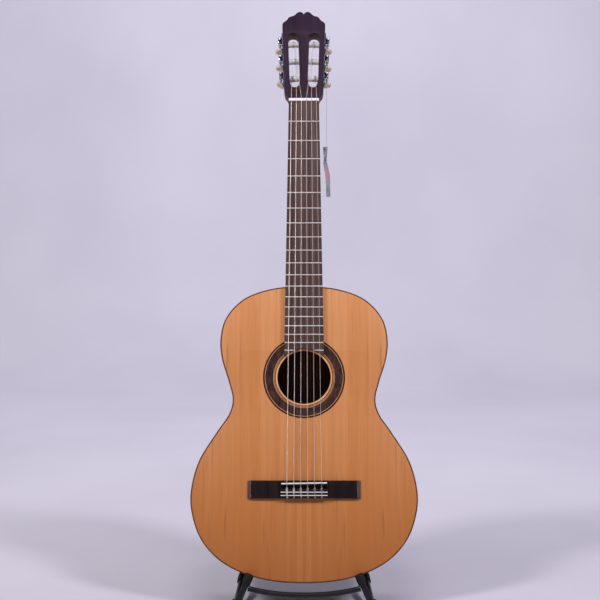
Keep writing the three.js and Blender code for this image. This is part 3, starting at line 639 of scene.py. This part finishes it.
def thread_line(top, bottom, steps=14):
    data = bpy.data.curves.new("tag_thread_line", "CURVE")
    data.dimensions = "3D"
    data.bevel_depth = THREAD_DIAMETER / 2000
    data.bevel_resolution = 3
    data.use_fill_caps = True
    spline = data.splines.new("POLY")
    spline.points.add(steps)
    for i in range(steps + 1):
        spline.points[i].co = (*top.lerp(bottom, i / steps), 1)
    data.materials.append(THREAD.material)
    return data


def build_tag():
    low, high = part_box("tag_thread")
    x, y = (low[0] + high[0]) / 2, (low[1] + high[1]) / 2
    top = Vector((x, y, high[2]))
    thread = linked("tag_thread_line", thread_line(top, Vector((x, y, low[2]))))
    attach(thread, "tag")
    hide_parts("tag_thread")
    place = MM @ moved(1000 * x, 1000 * y, 1000 * low[2] - 0.3)
    piece("hang_tag_strip", tag_shape(), FILM, "hang_tag", "tag", place)
    loop = [(0.9 * cos(a), 0.45 * sin(2 * a), 0.3 + 1.1 * sin(a))
            for a in angles(2 * pi, 20)]
    knot = piece("tag_knot", sweep(loop, 0.28, 8), THREAD, None, "tag", place)


# ---- Body ----
def slope(before, here, after, first, second):
    """A spline's direction here, from the points and gaps on both sides."""
    return (here - before) / first - (after - before) / (first + second) + (after - here) / second


def outline_curve():
    """Points round the body's outline, by a centripetal Catmull-Rom curve."""
    ring = [Vector(p) for p in HALF_OUTLINE] + [Vector((-x, z)) for x, z in reversed(HALF_OUTLINE[1:-1])]
    points = []
    for i in range(len(ring)):
        p = [ring[(i + k) % len(ring)] for k in (-1, 0, 1, 2)]
        gaps = [max((p[k + 1] - p[k]).length, 1e-6) ** 0.5 for k in range(3)]
        out = slope(p[0], p[1], p[2], gaps[0], gaps[1]) * gaps[1]
        into = slope(p[1], p[2], p[3], gaps[1], gaps[2]) * gaps[1]
        for s in range(OUTLINE_STEPS):
            t = s / OUTLINE_STEPS
            points.append(p[1] * (2 * t**3 - 3 * t**2 + 1) + out * (t**3 - 2 * t**2 + t)
                          + p[2] * (3 * t**2 - 2 * t**3) + into * (t**3 - t**2))
    return points


OUTLINE = outline_curve()


def build_rosette():
    rings = [
        ("rosette_edge", HOLE_R + 0.05, 46.7, RING_LIGHT), ("rosette_line_1", 46.7, 48.2, RING_DARK),
        ("rosette_line_2", 48.2, 48.9, RING_LIGHT), ("rosette_line_3", 48.9, 50.0, RING_DARK),
        ("rosette_line_4", 50.0, 50.7, RING_LIGHT), ("rosette_band", 50.7, 64.0, BAND),
        ("rosette_line_5", 64.0, 64.7, RING_LIGHT), ("rosette_line_6", 64.7, 67.7, RING_DARK),
    ]
    for name, inner, outer, look in rings:
        shape = plate([circle(outer, 0, HOLE_Z, 144), circle(inner, 0, HOLE_Z, 144)], -0.05, 0.8, 0.03, 1)
        piece(name, shape, look, "rosette" if name == "rosette_band" else None)


def build_body():
    board = plate([shrunk(OUTLINE, BINDING), circle(HOLE_R, 0, HOLE_Z, 144)], 0, BOARD, 0.12, 2)
    piece("soundboard_face", board, CEDAR, "soundboard")
    build_rosette()
    edge = plate([OUTLINE, shrunk(OUTLINE, BINDING)], 0, 5, 0.8, 4)
    piece("front_binding", edge, EDGE_WOOD, "edge_binding")
    count = (len(HALF_OUTLINE) - 1) * OUTLINE_STEPS + 1
    for name, side in SIDES.items():
        outer, inner = ([(side * max(p.x, 0.02), p.y) for p in loop[:count]]
                        for loop in (OUTLINE, shrunk(OUTLINE, 2)))
        shape = plate([outer + inner[::-1]], 5.02, 85.96, 0.05, 1)
        piece(f"{name}_rib_wood", shape, MAHOGANY, f"{name}_rib")
    edge = plate([OUTLINE, shrunk(OUTLINE, BINDING)], BODY_DEPTH - 5, 5, 0.8, 4)
    piece("back_binding", edge, EDGE_WOOD)
    back = plate([shrunk(OUTLINE, BINDING)], BODY_DEPTH - 3, 3, 0.12, 2)
    piece("back_wood", back, MAHOGANY, "back_plate")
    low, high = (-2.6, BODY_DEPTH - 1, BINDING), (2.6, BODY_DEPTH + 0.12, BODY_LENGTH - BINDING)
    strip = rounded_box(low, high, 0.08, 1)
    piece("back_centre_strip", strip, EDGE_WOOD)
    graft = rounded_box((-4, 5.2, -0.12), (4, BODY_DEPTH - 5.2, 1.4), 0.1, 1)
    piece("end_strip", graft, EDGE_WOOD)
    for node in ("end_block", "neck_block", "upper_harmonic_bar", "lower_harmonic_bar"):
        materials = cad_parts[node].data.materials
        materials.clear()
        materials.append(SPRUCE.material)


# ---- Bridge ----
def string_x(index, pitch):
    return (index - 2.5) * pitch


def bridge_wing(side, sections):
    """A stretch of a wing, its face gently domed. A section has its x, height and inward bow."""
    rings = []
    for out, height, bow in sections:
        edge, top = -0.82 * height, BRIDGE_Z + BRIDGE_HEIGHT
        ring = [(side * out, -0.02, BRIDGE_Z), (side * out, edge, BRIDGE_Z)]
        for k in range(1, 12):
            t = k / 12
            y = -height * (0.86 + 0.14 * sin(pi * t) ** 0.6)
            ring.append((side * (out - bow * sin(pi * t)), y, BRIDGE_Z + BRIDGE_HEIGHT * t))
        ring += [(side * out, edge, top), (side * out, -0.02, top)]
        rings.append([Vector(p) for p in ring])
    return loft(rings)


def build_bridge():
    c, top = BRIDGE_CENTRE, BRIDGE_Z + BRIDGE_HEIGHT
    recess = BRIDGE_Z + TIE_BLOCK
    wing = ((c - 1, 5.2, 0), (60, 5.1, 0), (86.2, 4.9, 2.2))
    end = ((86.21, 4.75, 2.2), (88.4, 3.4, 0.8), (90.8, 2.3, 0), (BRIDGE_HALF, 1.6, 0))
    for name, side in SIDES.items():
        piece(f"bridge_wing_{name}", bridge_wing(side, wing), BRIDGE_WOOD, sharp=30)
        # The wing ends get the paler finish, a painted reflection on their bevels.
        piece(f"bridge_end_{name}", bridge_wing(side, end), BRIDGE_END_SHEEN, sharp=30)
    holes = [shifted(spin([(d / 2 + 0.2, -12), (d / 2 + 0.2, 12)], 12),
                     moved(string_x(i, BRIDGE_PITCH), -5, BRIDGE_Z + TIE_BLOCK / 2))
             for i, d in enumerate(DIAMETERS)]
    block = carved(rounded_box((-c, -8.3, BRIDGE_Z), (c, -0.02, recess), 0.6, 3), *holes)
    piece("tie_block", block, BRIDGE_WOOD, "bridge")
    ridge = rounded_box((-c, -8.3, recess + 5.8), (c, -0.02, top), 0.6, 3)
    piece("saddle_ridge", ridge, BRIDGE_WOOD)
    floor = rounded_box((-c, -3.5, recess - 0.5), (c, -0.02, recess + 6.3), 0.2, 1)
    piece("bridge_floor", floor, BRIDGE_WOOD)
    for i, z in enumerate((138.2, 143.4)):
        line = rounded_box((-c + 0.2, -8.42, z - 0.65), (c - 0.2, -7.6, z + 0.65), 0.1, 1)
        piece(f"tie_block_line_{i + 1}", line, BONE)
    for name, side in SIDES.items():
        low, high = sorted((side * c, side * (c - 1.2)))
        cheek = rounded_box((low, -8.38, recess - 0.4), (high, -3, recess + 6.2), 0.25, 2)
        piece(f"recess_cheek_{name}", cheek, BRIDGE_WOOD)
    saddle = rounded_box((-37, -12.75, -1.2), (37, -3, 1.2), 0.9, 4)
    place = GUITAR @ moved(z=SADDLE_Z) @ turned(-SADDLE_SLANT, "Y")
    piece("saddle_bone", saddle, BONE, "saddle", matrix=place)


# ---- Neck ----
def neck_half(z):
    return NUT_HALF + (NUT_Z - z) * (JOINT_HALF - NUT_HALF) / (SCALE / 2)


def neck_depth(z):
    heel = max(0.0, 1 - (z - BODY_LENGTH) / 70)
    flare = max(0.0, 1 - (NUT_Z + 5 - z) / 36)
    return 15 + 2.5 * (NUT_Z - z) / (SCALE / 2) + 74.5 * heel**2.4 + 5 * flare**2


def build_neck():
    rings = []
    low, high = BODY_LENGTH - 0.3, NUT_Z + 5
    for i in range(61):
        z = low + (high - low) * (i / 60) ** 1.5
        depth, half = neck_depth(z), neck_half(z)
        pinch = 0.30 * min(1.0, max(0.0, (depth - 20) / 60))
        ring = []
        for a in angles(pi, 40):
            y = depth * sin(a) ** 0.8
            x = half * cos(a) * (1 - pinch * (y / depth) ** 1.3)
            ring.append(Vector((x, min(y, BODY_DEPTH - 2.2), z)))
        rings.append(ring)
    piece("neck_wood", loft(rings), MAHOGANY, "neck", sharp=50)
    cap_loop = [(9 * cos(a), 4 + 9 * sin(a)) for a in angles(pi, 16)]
    cap = plate([[(x, z + BODY_LENGTH - 4) for x, z in cap_loop]], BODY_DEPTH - 7, 5, 0.5, 3)
    piece("heel_cap", cap, EDGE_WOOD)


def fret_z(number):
    return NUT_Z - SCALE * (1 - 2 ** (-number / 12))


def fret(z, low, high):
    """A half round wire from x low to x high, its ends rounded off."""
    rings = []
    for x, part in ((low, 0.55), (low + 0.5, 0.95), (low + 1.2, 1.0), (high - 1.2, 1.0), (high - 0.5, 0.95),
                    (high, 0.55)):
        high_y = 1.1 * part
        section = [(BOARD_FACE - high_y * sin(a), z + 0.85 * cos(a)) for a in angles(pi, 8)]
        section += [(BOARD_FACE + 0.6, z - 0.6), (BOARD_FACE + 0.6, z + 0.6)]
        rings.append([Vector((x, y, up)) for y, up in section])
    return loft(rings)


def build_fingerboard():
    low, arc = 365.0, 47.0
    half = neck_half(low)
    edge = asin(min(1.0, (half - 0.01) / arc))
    curve = [(arc * sin(edge - a), HOLE_Z + arc * cos(edge - a)) for a in angles(2 * edge, 40)]
    outline = [(NUT_HALF, NUT_Z - 0.02), (-NUT_HALF, NUT_Z - 0.02), (-half, curve[-1][1])] + curve[::-1]
    board = plate([outline], BOARD_FACE, 6.78, 0.4, 3)
    piece("fingerboard_wood", board, BOARD_WOOD, "fingerboard")
    for number in range(1, 20):
        z = fret_z(number)
        reach = neck_half(z) - 0.15
        if number < 19:
            piece(f"fret_{number:02d}", fret(z, -reach, reach), NICKEL, sharp=60)
            continue
        inner = sqrt(max(0.0, arc**2 - (z - HOLE_Z) ** 2)) + 0.6
        for name, side in SIDES.items():
            ends = sorted((side * inner, side * reach))
            piece(f"fret_19_{name}", fret(z, *ends), NICKEL, sharp=60)


def build_nut():
    slots = [shifted(spin([(d / 2 + 0.1, -8), (d / 2 + 0.1, 8)], 12),
                     moved(string_x(i, NUT_PITCH), NUT_TOP, NUT_Z + 2.5)) for i, d in enumerate(DIAMETERS)]
    bone = carved(rounded_box((-NUT_HALF, -9.2, NUT_Z), (NUT_HALF, -0.02, NUT_Z + 4.9), 0.7, 3), *slots)
    piece("nut_bone", bone, BONE, "nut")


# ---- Head ----
def head_loop():
    half = [(26.0, 4.0)]
    half += quad(half[-1], (26.5, 11), (31.5, 16))
    half += quad(half[-1], (34, 21), (34.2, 29))
    half += [(34.2 + 3.9 * k / 6, 29 + 127 * k / 6) for k in range(1, 7)]
    for control, end in (((38.6, 163), (35, 166)), ((30.5, 168.5), (28, 173.5)), ((26, 177.3), (22.5, 177.8)),
                         ((17.5, 178.5), (14.2, 182.8)), ((10.5, 188), (6.5, 187.6)), ((2, 187), (0, 182.6))):
        half += quad(half[-1], control, end)
    return half + [(-x, z) for x, z in reversed(half[:-1])]


def slot_loop(side, radius=9.0):
    loop = []
    for x, u, start in ((18.6, 133.0, 0.0), (15.8, 46.0, pi)):
        loop += [(side * x + radius * cos(start + a), u + radius * sin(start + a))
                 for a in angles(pi, 16)]
    return loop


def build_head():
    loops = [head_loop(), slot_loop(-1), slot_loop(1)]
    sides = SIDES.values()
    ramp = rounded_box((-8, -15, -2), (8, 0, 23), 3.5, 3)
    ramps = [shifted(ramp, moved(side * 15.8, -2.8, 19.4) @ turned(-radians(35), "X")) for side in sides]
    bore = spin([(5.35, -30.6), (5.35, 15)], 24)
    bores = [shifted(bore, HEAD.inverted() @ roller_frame(side, row) @ outward(side))
             for side in sides for row in ROWS]
    wood_shape = carved(plate(loops, -0.05, 18.05, 1.2, 4), *ramps, *bores)
    piece("head_wood", wood_shape, HEAD_WOOD, "headstock", matrix=HEAD)
    veneer = carved(plate(loops, -2.8, 2.8, 0.5, 3), *ramps)
    piece("head_veneer", veneer, VENEER, "headplate", matrix=HEAD)


# ---- Tuners ----
def roller_z(row):
    return ROLLER_FIRST + row * ROLLER_PITCH - HEAD_MIDDLE


def roller_frame(side, row):
    return side_frame(side) @ moved(0, ROLLER_DEPTH, roller_z(row))


def outward(side):
    """Turns a shape made along z to run outward from the head."""
    return turned(side * pi / 2, "Y")


def along_y(shape):
    return shifted(shape, turned(-pi / 2, "X"))


def gear_loop(teeth=14, tip=5.9, root=4.5):
    tooth = ((root, -0.34), (root, -0.27), (tip, -0.14), (tip, 0.14), (root, 0.27), (root, 0.34))
    loop = []
    for k in range(teeth):
        for radius, part in tooth:
            a = (k + part) * 2 * pi / teeth
            loop.append((radius * cos(a), radius * sin(a)))
    return loop


def build_roller(name, side, row):
    """A string's post with its axle, gear wheel and the wheel's screw, made along z and turned outward."""
    spot = f"{name}_{row + 1}"
    riding = {"body": f"roller_{spot}", "matrix": roller_frame(side, row) @ outward(side)}
    inner = 5 - HEAD_HALF
    post = spin([(4.2, inner), (5, inner + 0.8), (5, inner + 4), (4.8, inner + 4.6), (4.8, -13), (5, -12),
                 (5, -1.2), (4.4, -0.6)], 28)
    piece(f"string_post_{spot}", post, ROLLER_WHITE, f"string_roller_{spot}", **riding)
    piece(f"post_axle_{spot}", spin([(1.9, -1), (1.9, 3.3)], 16), CHROME, **riding)
    wheel = plate([gear_loop(), circle(1.5, sides=24)], -1.5, 3, 0.2, 2)
    wheel = shifted(wheel, moved(z=WORM_OUT) @ turned(pi / 2, "X"))
    piece(f"gear_wheel_{spot}", wheel, BRASS, **riding)
    slot = rounded_box((-3, -0.35, 7.3), (3, 0.35, 9), 0.05, 1)
    screw = spin([(1.45, 3.2), (1.45, 6.3), (2.8, 6.35), (2.8, 6.9), (2.3, 7.5), (1.0, 7.8)], 24)
    piece(f"wheel_screw_{spot}", carved(screw, slot), CHROME, **riding)


def worm_shape():
    """The shaft along y: the worm's thread between the plate's tabs, a collar and the button's post."""
    middle, turns = 11.4, 2.5
    steps = int(turns * 16)
    thread = []
    for i in range(steps + 1):
        y = middle + turns * WORM_LEAD * (i / steps - 0.5)
        a = 2 * pi * (y - middle) / WORM_LEAD
        thread.append((2.25 * cos(a), y, 2.25 * sin(a)))
    taper = [0.62 * min(1.0, (min(i, steps - i) + 1) / 8) for i in range(steps + 1)]
    shaft = spin([(1.2, 4.4), (1.2, 7.2), (2.1, 7.5), (2.1, 15.3), (1.2, 15.5), (1.2, 23.8), (2.2, 24),
                  (2.8, 24.6), (2.8, 26.4), (2.0, 27), (1.6, 30), (2.4, 35.4), (2.4, 36.6)], 20)
    return together(along_y(shaft), sweep(thread, taper, 8))


def cap_shape():
    """The dome on the shaft's front end, in a paler metal that paints its highlight."""
    radius, crown, base = 2.4, 1.9, 3.9
    dome = [(radius * sin(a), base - crown * cos(a)) for a in (0.15, 0.5, 0.85, 1.2, pi / 2)]
    return along_y(spin(dome + [(radius, base + 0.3)], 28))


def rim_shape():
    """The dark washer that the dome sits in."""
    return along_y(spin([(2.3, 3.5), (2.9, 3.7), (3.25, 4.2), (3.25, 5.0), (2.7, 5.35)], 28))


def button_shape():
    """A rounded pad on the post's end."""
    half = [(2.6, 0.0)]
    half += quad(half[-1], (8.5, 1.0), (8.5, 7.0), 12)
    half += quad(half[-1], (8.5, 13.5), (0.0, 13.5), 12)
    loop = half + [(-x, y) for x, y in reversed(half[:-1])]
    return shifted(plate([loop], -3.3, 6.6, 2.5, 6), moved(y=35.5) @ turned(-pi / 2, "X"))


def build_key(name, side, row):
    spot = f"{name}_{row + 1}"
    place = side_frame(side) @ moved(side * WORM_OUT, 0, roller_z(row) + WORM_OFFSET)
    riding = {"body": f"key_{spot}", "matrix": place @ turned(radians(BUTTON_TURNS[name][row]), "Y")}
    piece(f"worm_{spot}", worm_shape(), CHROME, f"worm_shaft_{spot}", **riding)
    piece(f"worm_cap_{spot}", cap_shape(), CAP_PAINTED_GLINT, **riding)
    piece(f"worm_rim_{spot}", rim_shape(), DARK_METAL, **riding)
    piece(f"button_{spot}", button_shape(), PEARL, f"tuner_button_{spot}", sharp=60, **riding)


def tuner_plate_loop():
    """A strip that swells by each worm, in y and z."""
    loop = []
    for k in range(61):
        z = -52 + 105 * k / 60
        swell = sum(exp(-(((z - roller_z(row) - 5) / 9) ** 2)) for row in ROWS)
        loop.append((19.5 - 2.6 * (1 - min(1.0, swell)), z))
    return loop + [(21 - y, z) for y, z in reversed(loop)]


def build_plate(name, side):
    """A side plate with two tabs for each worm and four screws."""
    place = side_frame(side)
    flat = plate([tuner_plate_loop()], 0.3, 1.3, 0.3, 2)
    base = shifted(flat, turned(pi / 2, "Z") @ Matrix.Diagonal((1, -side, 1, 1)))
    low, high = sorted((side * 0.4, side * 8))
    tabs = []
    for row in ROWS:
        z = roller_z(row) + WORM_OFFSET
        tabs += [rounded_box((low, y, z - 3.2), (high, y + 1.6, z + 3.2), 0.5, 2) for y in (5.5, 15.9)]
    piece(f"{name}_plate_metal", together(base, *tabs), DARK_METAL, f"{name}_tuner_plate", matrix=place)
    screw = spin([(1.9, 1.5), (1.9, 1.9), (1.4, 2.4), (0.5, 2.6)], 16)
    for k, z in enumerate((-48, -18.5, 16.5, 49)):
        spot = place @ moved(0, 10.5, z) @ outward(side)
        piece(f"{name}_plate_screw_{k + 1}", screw, CHROME, matrix=spot)


def build_tuners():
    for name, side in SIDES.items():
        build_plate(name, side)
        for row in ROWS:
            build_roller(name, side, row)
            build_key(name, side, row)


# ---- Strings: string 6 is the thickest and the furthest left ----
def roller_middle(side, row):
    """Where a string's coil starts on its roller, in the head frame."""
    return Vector((side * ROLLER_X[row], ROLLER_DEPTH, ROLLER_FIRST + row * ROLLER_PITCH))


def string_path(index, side, row):
    """From the tie block over the saddle and the nut down to the roller."""
    low_x, high_x = string_x(index, BRIDGE_PITCH), string_x(index, NUT_PITCH)
    meet = roller_middle(side, row) - Vector((0, ROLLER_R + DIAMETERS[index] / 2, 0))
    return bent([(low_x, -5, BRIDGE_Z - 0.5), (low_x, -5, BRIDGE_Z + TIE_BLOCK + 1),
                 (low_x, SADDLE_TOP, SADDLE_Z - 1.4), (high_x, NUT_TOP, NUT_Z),
                 (high_x, NUT_TOP, NUT_Z + 4.6), GUITAR.inverted() @ HEAD @ meet], 1.0, 3)


def tie_path(index):
    """The end that comes back over the tie block, round itself and down over the block again."""
    x, radius = string_x(index, BRIDGE_PITCH), DIAMETERS[index] / 2
    lift = -8.42 - radius
    points = ((0, -5.0, -0.4), (0.1, -6.4, -1.0), (0.3, lift, 0.4), (0.7, lift - 0.1, 8), (1.0, lift, 14.4),
              (1.2, -7.6, 16.2), (0.4, -6.9 + radius, 17.2), (-0.9, -8.0, 16.0), (-0.9, lift, 14.4),
              (-0.5, lift - radius, 9), (0.4, lift - radius, 4.0), (1.6, lift, 1.2))
    return bent([(x + aside, y, BRIDGE_Z + up) for aside, y, up in points], 0.5, 3)


def coil_path(index, side, row):
    """The turns on the roller. The first row winds inwards and the others outwards, to stay in the slot."""
    diameter, turns = DIAMETERS[index], 3.5 - 0.4 * row
    reach = ROLLER_R + diameter / 2
    direction = -side if row == 0 else side
    start = (HEAD.inverted() @ side_frame(side)).inverted() @ roller_middle(side, row)
    steps = int(turns * 24)
    coil = []
    for k, a in enumerate(angles(2 * pi * turns, steps)):
        x = start.x + direction * (k / steps) * turns * diameter * 1.05
        coil.append((x, -reach * cos(a), reach * sin(a)))
    return coil


def build_strings():
    for index, diameter in enumerate(DIAMETERS):
        number, radius = 6 - index, diameter / 2
        name, row, look = ("left", index, WOUND) if index < 3 else ("right", 5 - index, NYLON)
        side = SIDES[name]
        line = sweep(string_path(index, side, row), radius, 12)
        piece(f"string_line_{number}", line, look, f"string_{number}", sharp=60)
        tie = sweep(tie_path(index), radius * 0.92, 10)
        piece(f"string_tie_{number}", tie, look, sharp=60)
        coil = sweep(coil_path(index, side, row), radius * 0.98, 8)
        body = f"roller_{name}_{row + 1}"
        piece(f"string_coil_{number}", coil, look, None, body, roller_frame(side, row), 60)


# ---- Stand ----
def at(x, y, z):
    return Vector((x, EDGE_Y + y, z))


def stand_piece(name, shape, look, node=None, body="stand_front", sharp=38):
    return piece(name, shape, look, node, body, MM, sharp)


def rail_z(y):
    return RAIL_Z + (y - RAIL_Y) * tan(RAIL_SLOPE)


def knee():
    """Where the upright's line, behind the guitar's back, meets the rail's."""
    behind = BODY_DEPTH + UPRIGHT_GAP
    y = behind * cos(LEAN)
    z = EDGE_Z - behind * sin(LEAN)
    rise = (rail_z(y) - z) / (cos(LEAN) - sin(LEAN) * tan(RAIL_SLOPE))
    return y + rise * sin(LEAN), z + rise * cos(LEAN)


def rail_at(side, y):
    part = (y - RAIL_FRONT_Y) / (knee()[0] - RAIL_FRONT_Y)
    return at(side * (RAIL_FRONT_X + (RAIL_BACK_X - RAIL_FRONT_X) * part), y, rail_z(y))


def side_tube(side):
    corners = [at(side * BAR_X, APEX_Y, APEX_Z), at(side * CORNER_X, APEX_Y, APEX_Z),
               rail_at(side, knee()[0]), rail_at(side, RAIL_FRONT_Y), at(side * HOOK_X, HOOK_Y, HOOK_Z)]
    return bent(corners, 12, 12)


def onto(start, end):
    """Turns z onto the line from start to end, from start."""
    direction = (end - start).normalized()
    return Matrix.Translation(start) @ direction.to_track_quat("Z", "Y").to_matrix().to_4x4()


def boot_shape(side):
    cap = [(5.2, -12.5), (6.8, -12.5), (7.2, -12.0), (7.2, -10.6), (6.7, -10.1), (6.7, -9.5), (7.2, -9.0),
           (7.2, 0.6), (6.8, 2.2), (5.6, 3.2), (3.6, 3.5), (1.0, 3.5)]
    hook = at(side * HOOK_X, HOOK_Y, HOOK_Z)
    direction = (hook - rail_at(side, RAIL_FRONT_Y)).normalized()
    return shifted(spin(cap, 32), onto(hook, hook + direction))


def sleeve_shape(side):
    """A ribbed grip on the rail under the body."""
    start, end = rail_at(side, SLEEVE_FRONT_Y), rail_at(side, SLEEVE_BACK_Y)
    length = (end - start).length
    grip = [(5.1, 0), (7.0, 0), (7.4, 0.5)]
    for k in range(1, 5):
        z = length * k / 5
        grip += [(7.4, z - 0.8), (6.9, z - 0.3), (6.9, z + 0.3), (7.4, z + 0.8)]
    grip += [(7.4, length - 0.5), (7.0, length), (5.1, length)]
    return shifted(ring_of(grip), onto(start, end))


def foot_shape():
    """A rubber block with a flat underside and a rounded top, along y, with grooves round it."""
    length, half, height = 24, 8, 16
    loop = [(-half, 0.0), (half, 0.0), (half, height - 5)]
    loop += quad(loop[-1], (half, height), (half - 5, height), 6)
    loop += [(5 - half, height)]
    loop += quad(loop[-1], (-half, height), (-half, height - 5), 6)
    ribs = [plate([loop], -length / 2 + k * length / 4 + 0.25, length / 4 - 0.5, 0.5, 2) for k in range(4)]
    core = plate([[(x * 0.94, 0.3 + z * 0.95) for x, z in loop]], -length / 2 + 1, length - 2, 0.3, 1)
    return together(core, *ribs)


def build_side(name, side):
    stand_piece(f"{name}_side_metal", sweep(side_tube(side), TUBE, 28), POWDER, f"{name}_side_tube", sharp=50)
    stand_piece(f"{name}_boot_rubber", boot_shape(side), RUBBER, f"{name}_boot")
    stand_piece(f"{name}_sleeve_rubber", sleeve_shape(side), RUBBER, f"{name}_rail_sleeve")
    front = shifted(foot_shape(), Matrix.Translation(at(side * FRONT_FOOT_X, FRONT_FOOT_Y, 0)))
    stand_piece(f"{name}_front_foot_rubber", front, RUBBER, f"{name}_front_foot")
    turn = Matrix.Translation(at(side * REAR_FOOT_X, REAR_Y, 0)) @ turned(pi / 2, "Z")
    rear = shifted(foot_shape(), turn)
    stand_piece(f"{name}_rear_foot_rubber", rear, RUBBER, f"{name}_rear_foot", "stand_rear")


def bow_shape():
    """The cross tube: it dips in the middle and widens at its welded ends."""
    points, radii = [], []
    for i in range(49):
        part = i / 24 - 1
        points.append(at(part * BOW_X, BOW_Y, BOW_Z + (BOW_END_Z - BOW_Z) * abs(part) ** 2.3))
        radii.append(BOW_R + 1.1 * max(0.0, (abs(part) - 0.95) / 0.05) ** 2)
    return sweep(points, radii, 24)


def on_bar(profile, x):
    """A ring round the backrest bar at x."""
    return shifted(ring_of(profile), Matrix.Translation(at(x, APEX_Y, APEX_Z)) @ turned(pi / 2, "Y"))


def build_stand():
    for name, side in SIDES.items():
        build_side(name, side)
    stand_piece("bow_metal", bow_shape(), POWDER, "bow_tube", sharp=50)
    bar = [at(x, APEX_Y, APEX_Z) for x in (-BAR_X - 0.2, -60, 0, 60, BAR_X + 0.2)]
    stand_piece("backrest_metal", sweep(bar, TUBE, 28), POWDER, "backrest_bar", sharp=50)
    bead = [(4.6, -0.8), (5.25, -0.5), (5.45, 0), (5.25, 0.5), (4.6, 0.8)]
    for name, side in SIDES.items():
        stand_piece(f"{name}_weld", on_bar(bead, side * BAR_X), POWDER)
    build_pad()
    top_y, top_z = APEX_Y + 2.5, APEX_Z - 6.5
    corners = [at(-HINGE_X, top_y, top_z), at(-REAR_X, REAR_Y, REAR_Z), at(REAR_X, REAR_Y, REAR_Z),
               at(HINGE_X, top_y, top_z)]
    stand_piece("rear_metal", sweep(bent(corners, 24, 16), TUBE, 28), POWDER, "rear_frame", "stand_rear", 50)
    collar = [(5.4, -6.5), (7.7, -6.5), (8.2, -6.0), (8.2, 6.0), (7.7, 6.5), (5.4, 6.5)]
    for name, side in SIDES.items():
        stand_piece(f"{name}_hinge_collar", on_bar(collar, side * HINGE_X), POWDER, None, "stand_rear")


def build_pad():
    """The foam sleeve: drawn in at its ends, with a slightly uneven surface."""
    rings = []
    for i in range(41):
        part = i / 20 - 1
        edge = max(0.0, (abs(part) - 0.9) / 0.1)
        radius = 11.6 * (1 - 0.35 * edge**2) + 0.25 * cos(part * 9)
        ring = []
        for a in around(32):
            reach = radius + 0.18 * noise.noise(Vector((part * 6, cos(a) * 1.5, sin(a) * 1.5)))
            ring.append(at(50 * part, APEX_Y + reach * cos(a), APEX_Z + reach * sin(a)))
        rings.append(ring)
    pad = stand_piece("backrest_foam", loft(rings), FOAM, "backrest_pad", sharp=70)


build_camera()
build_tag()
build_lights()
build_stage()
build_body()
build_bridge()
build_neck()
build_fingerboard()
build_nut()
build_head()
build_tuners()
build_strings()
build_stand()
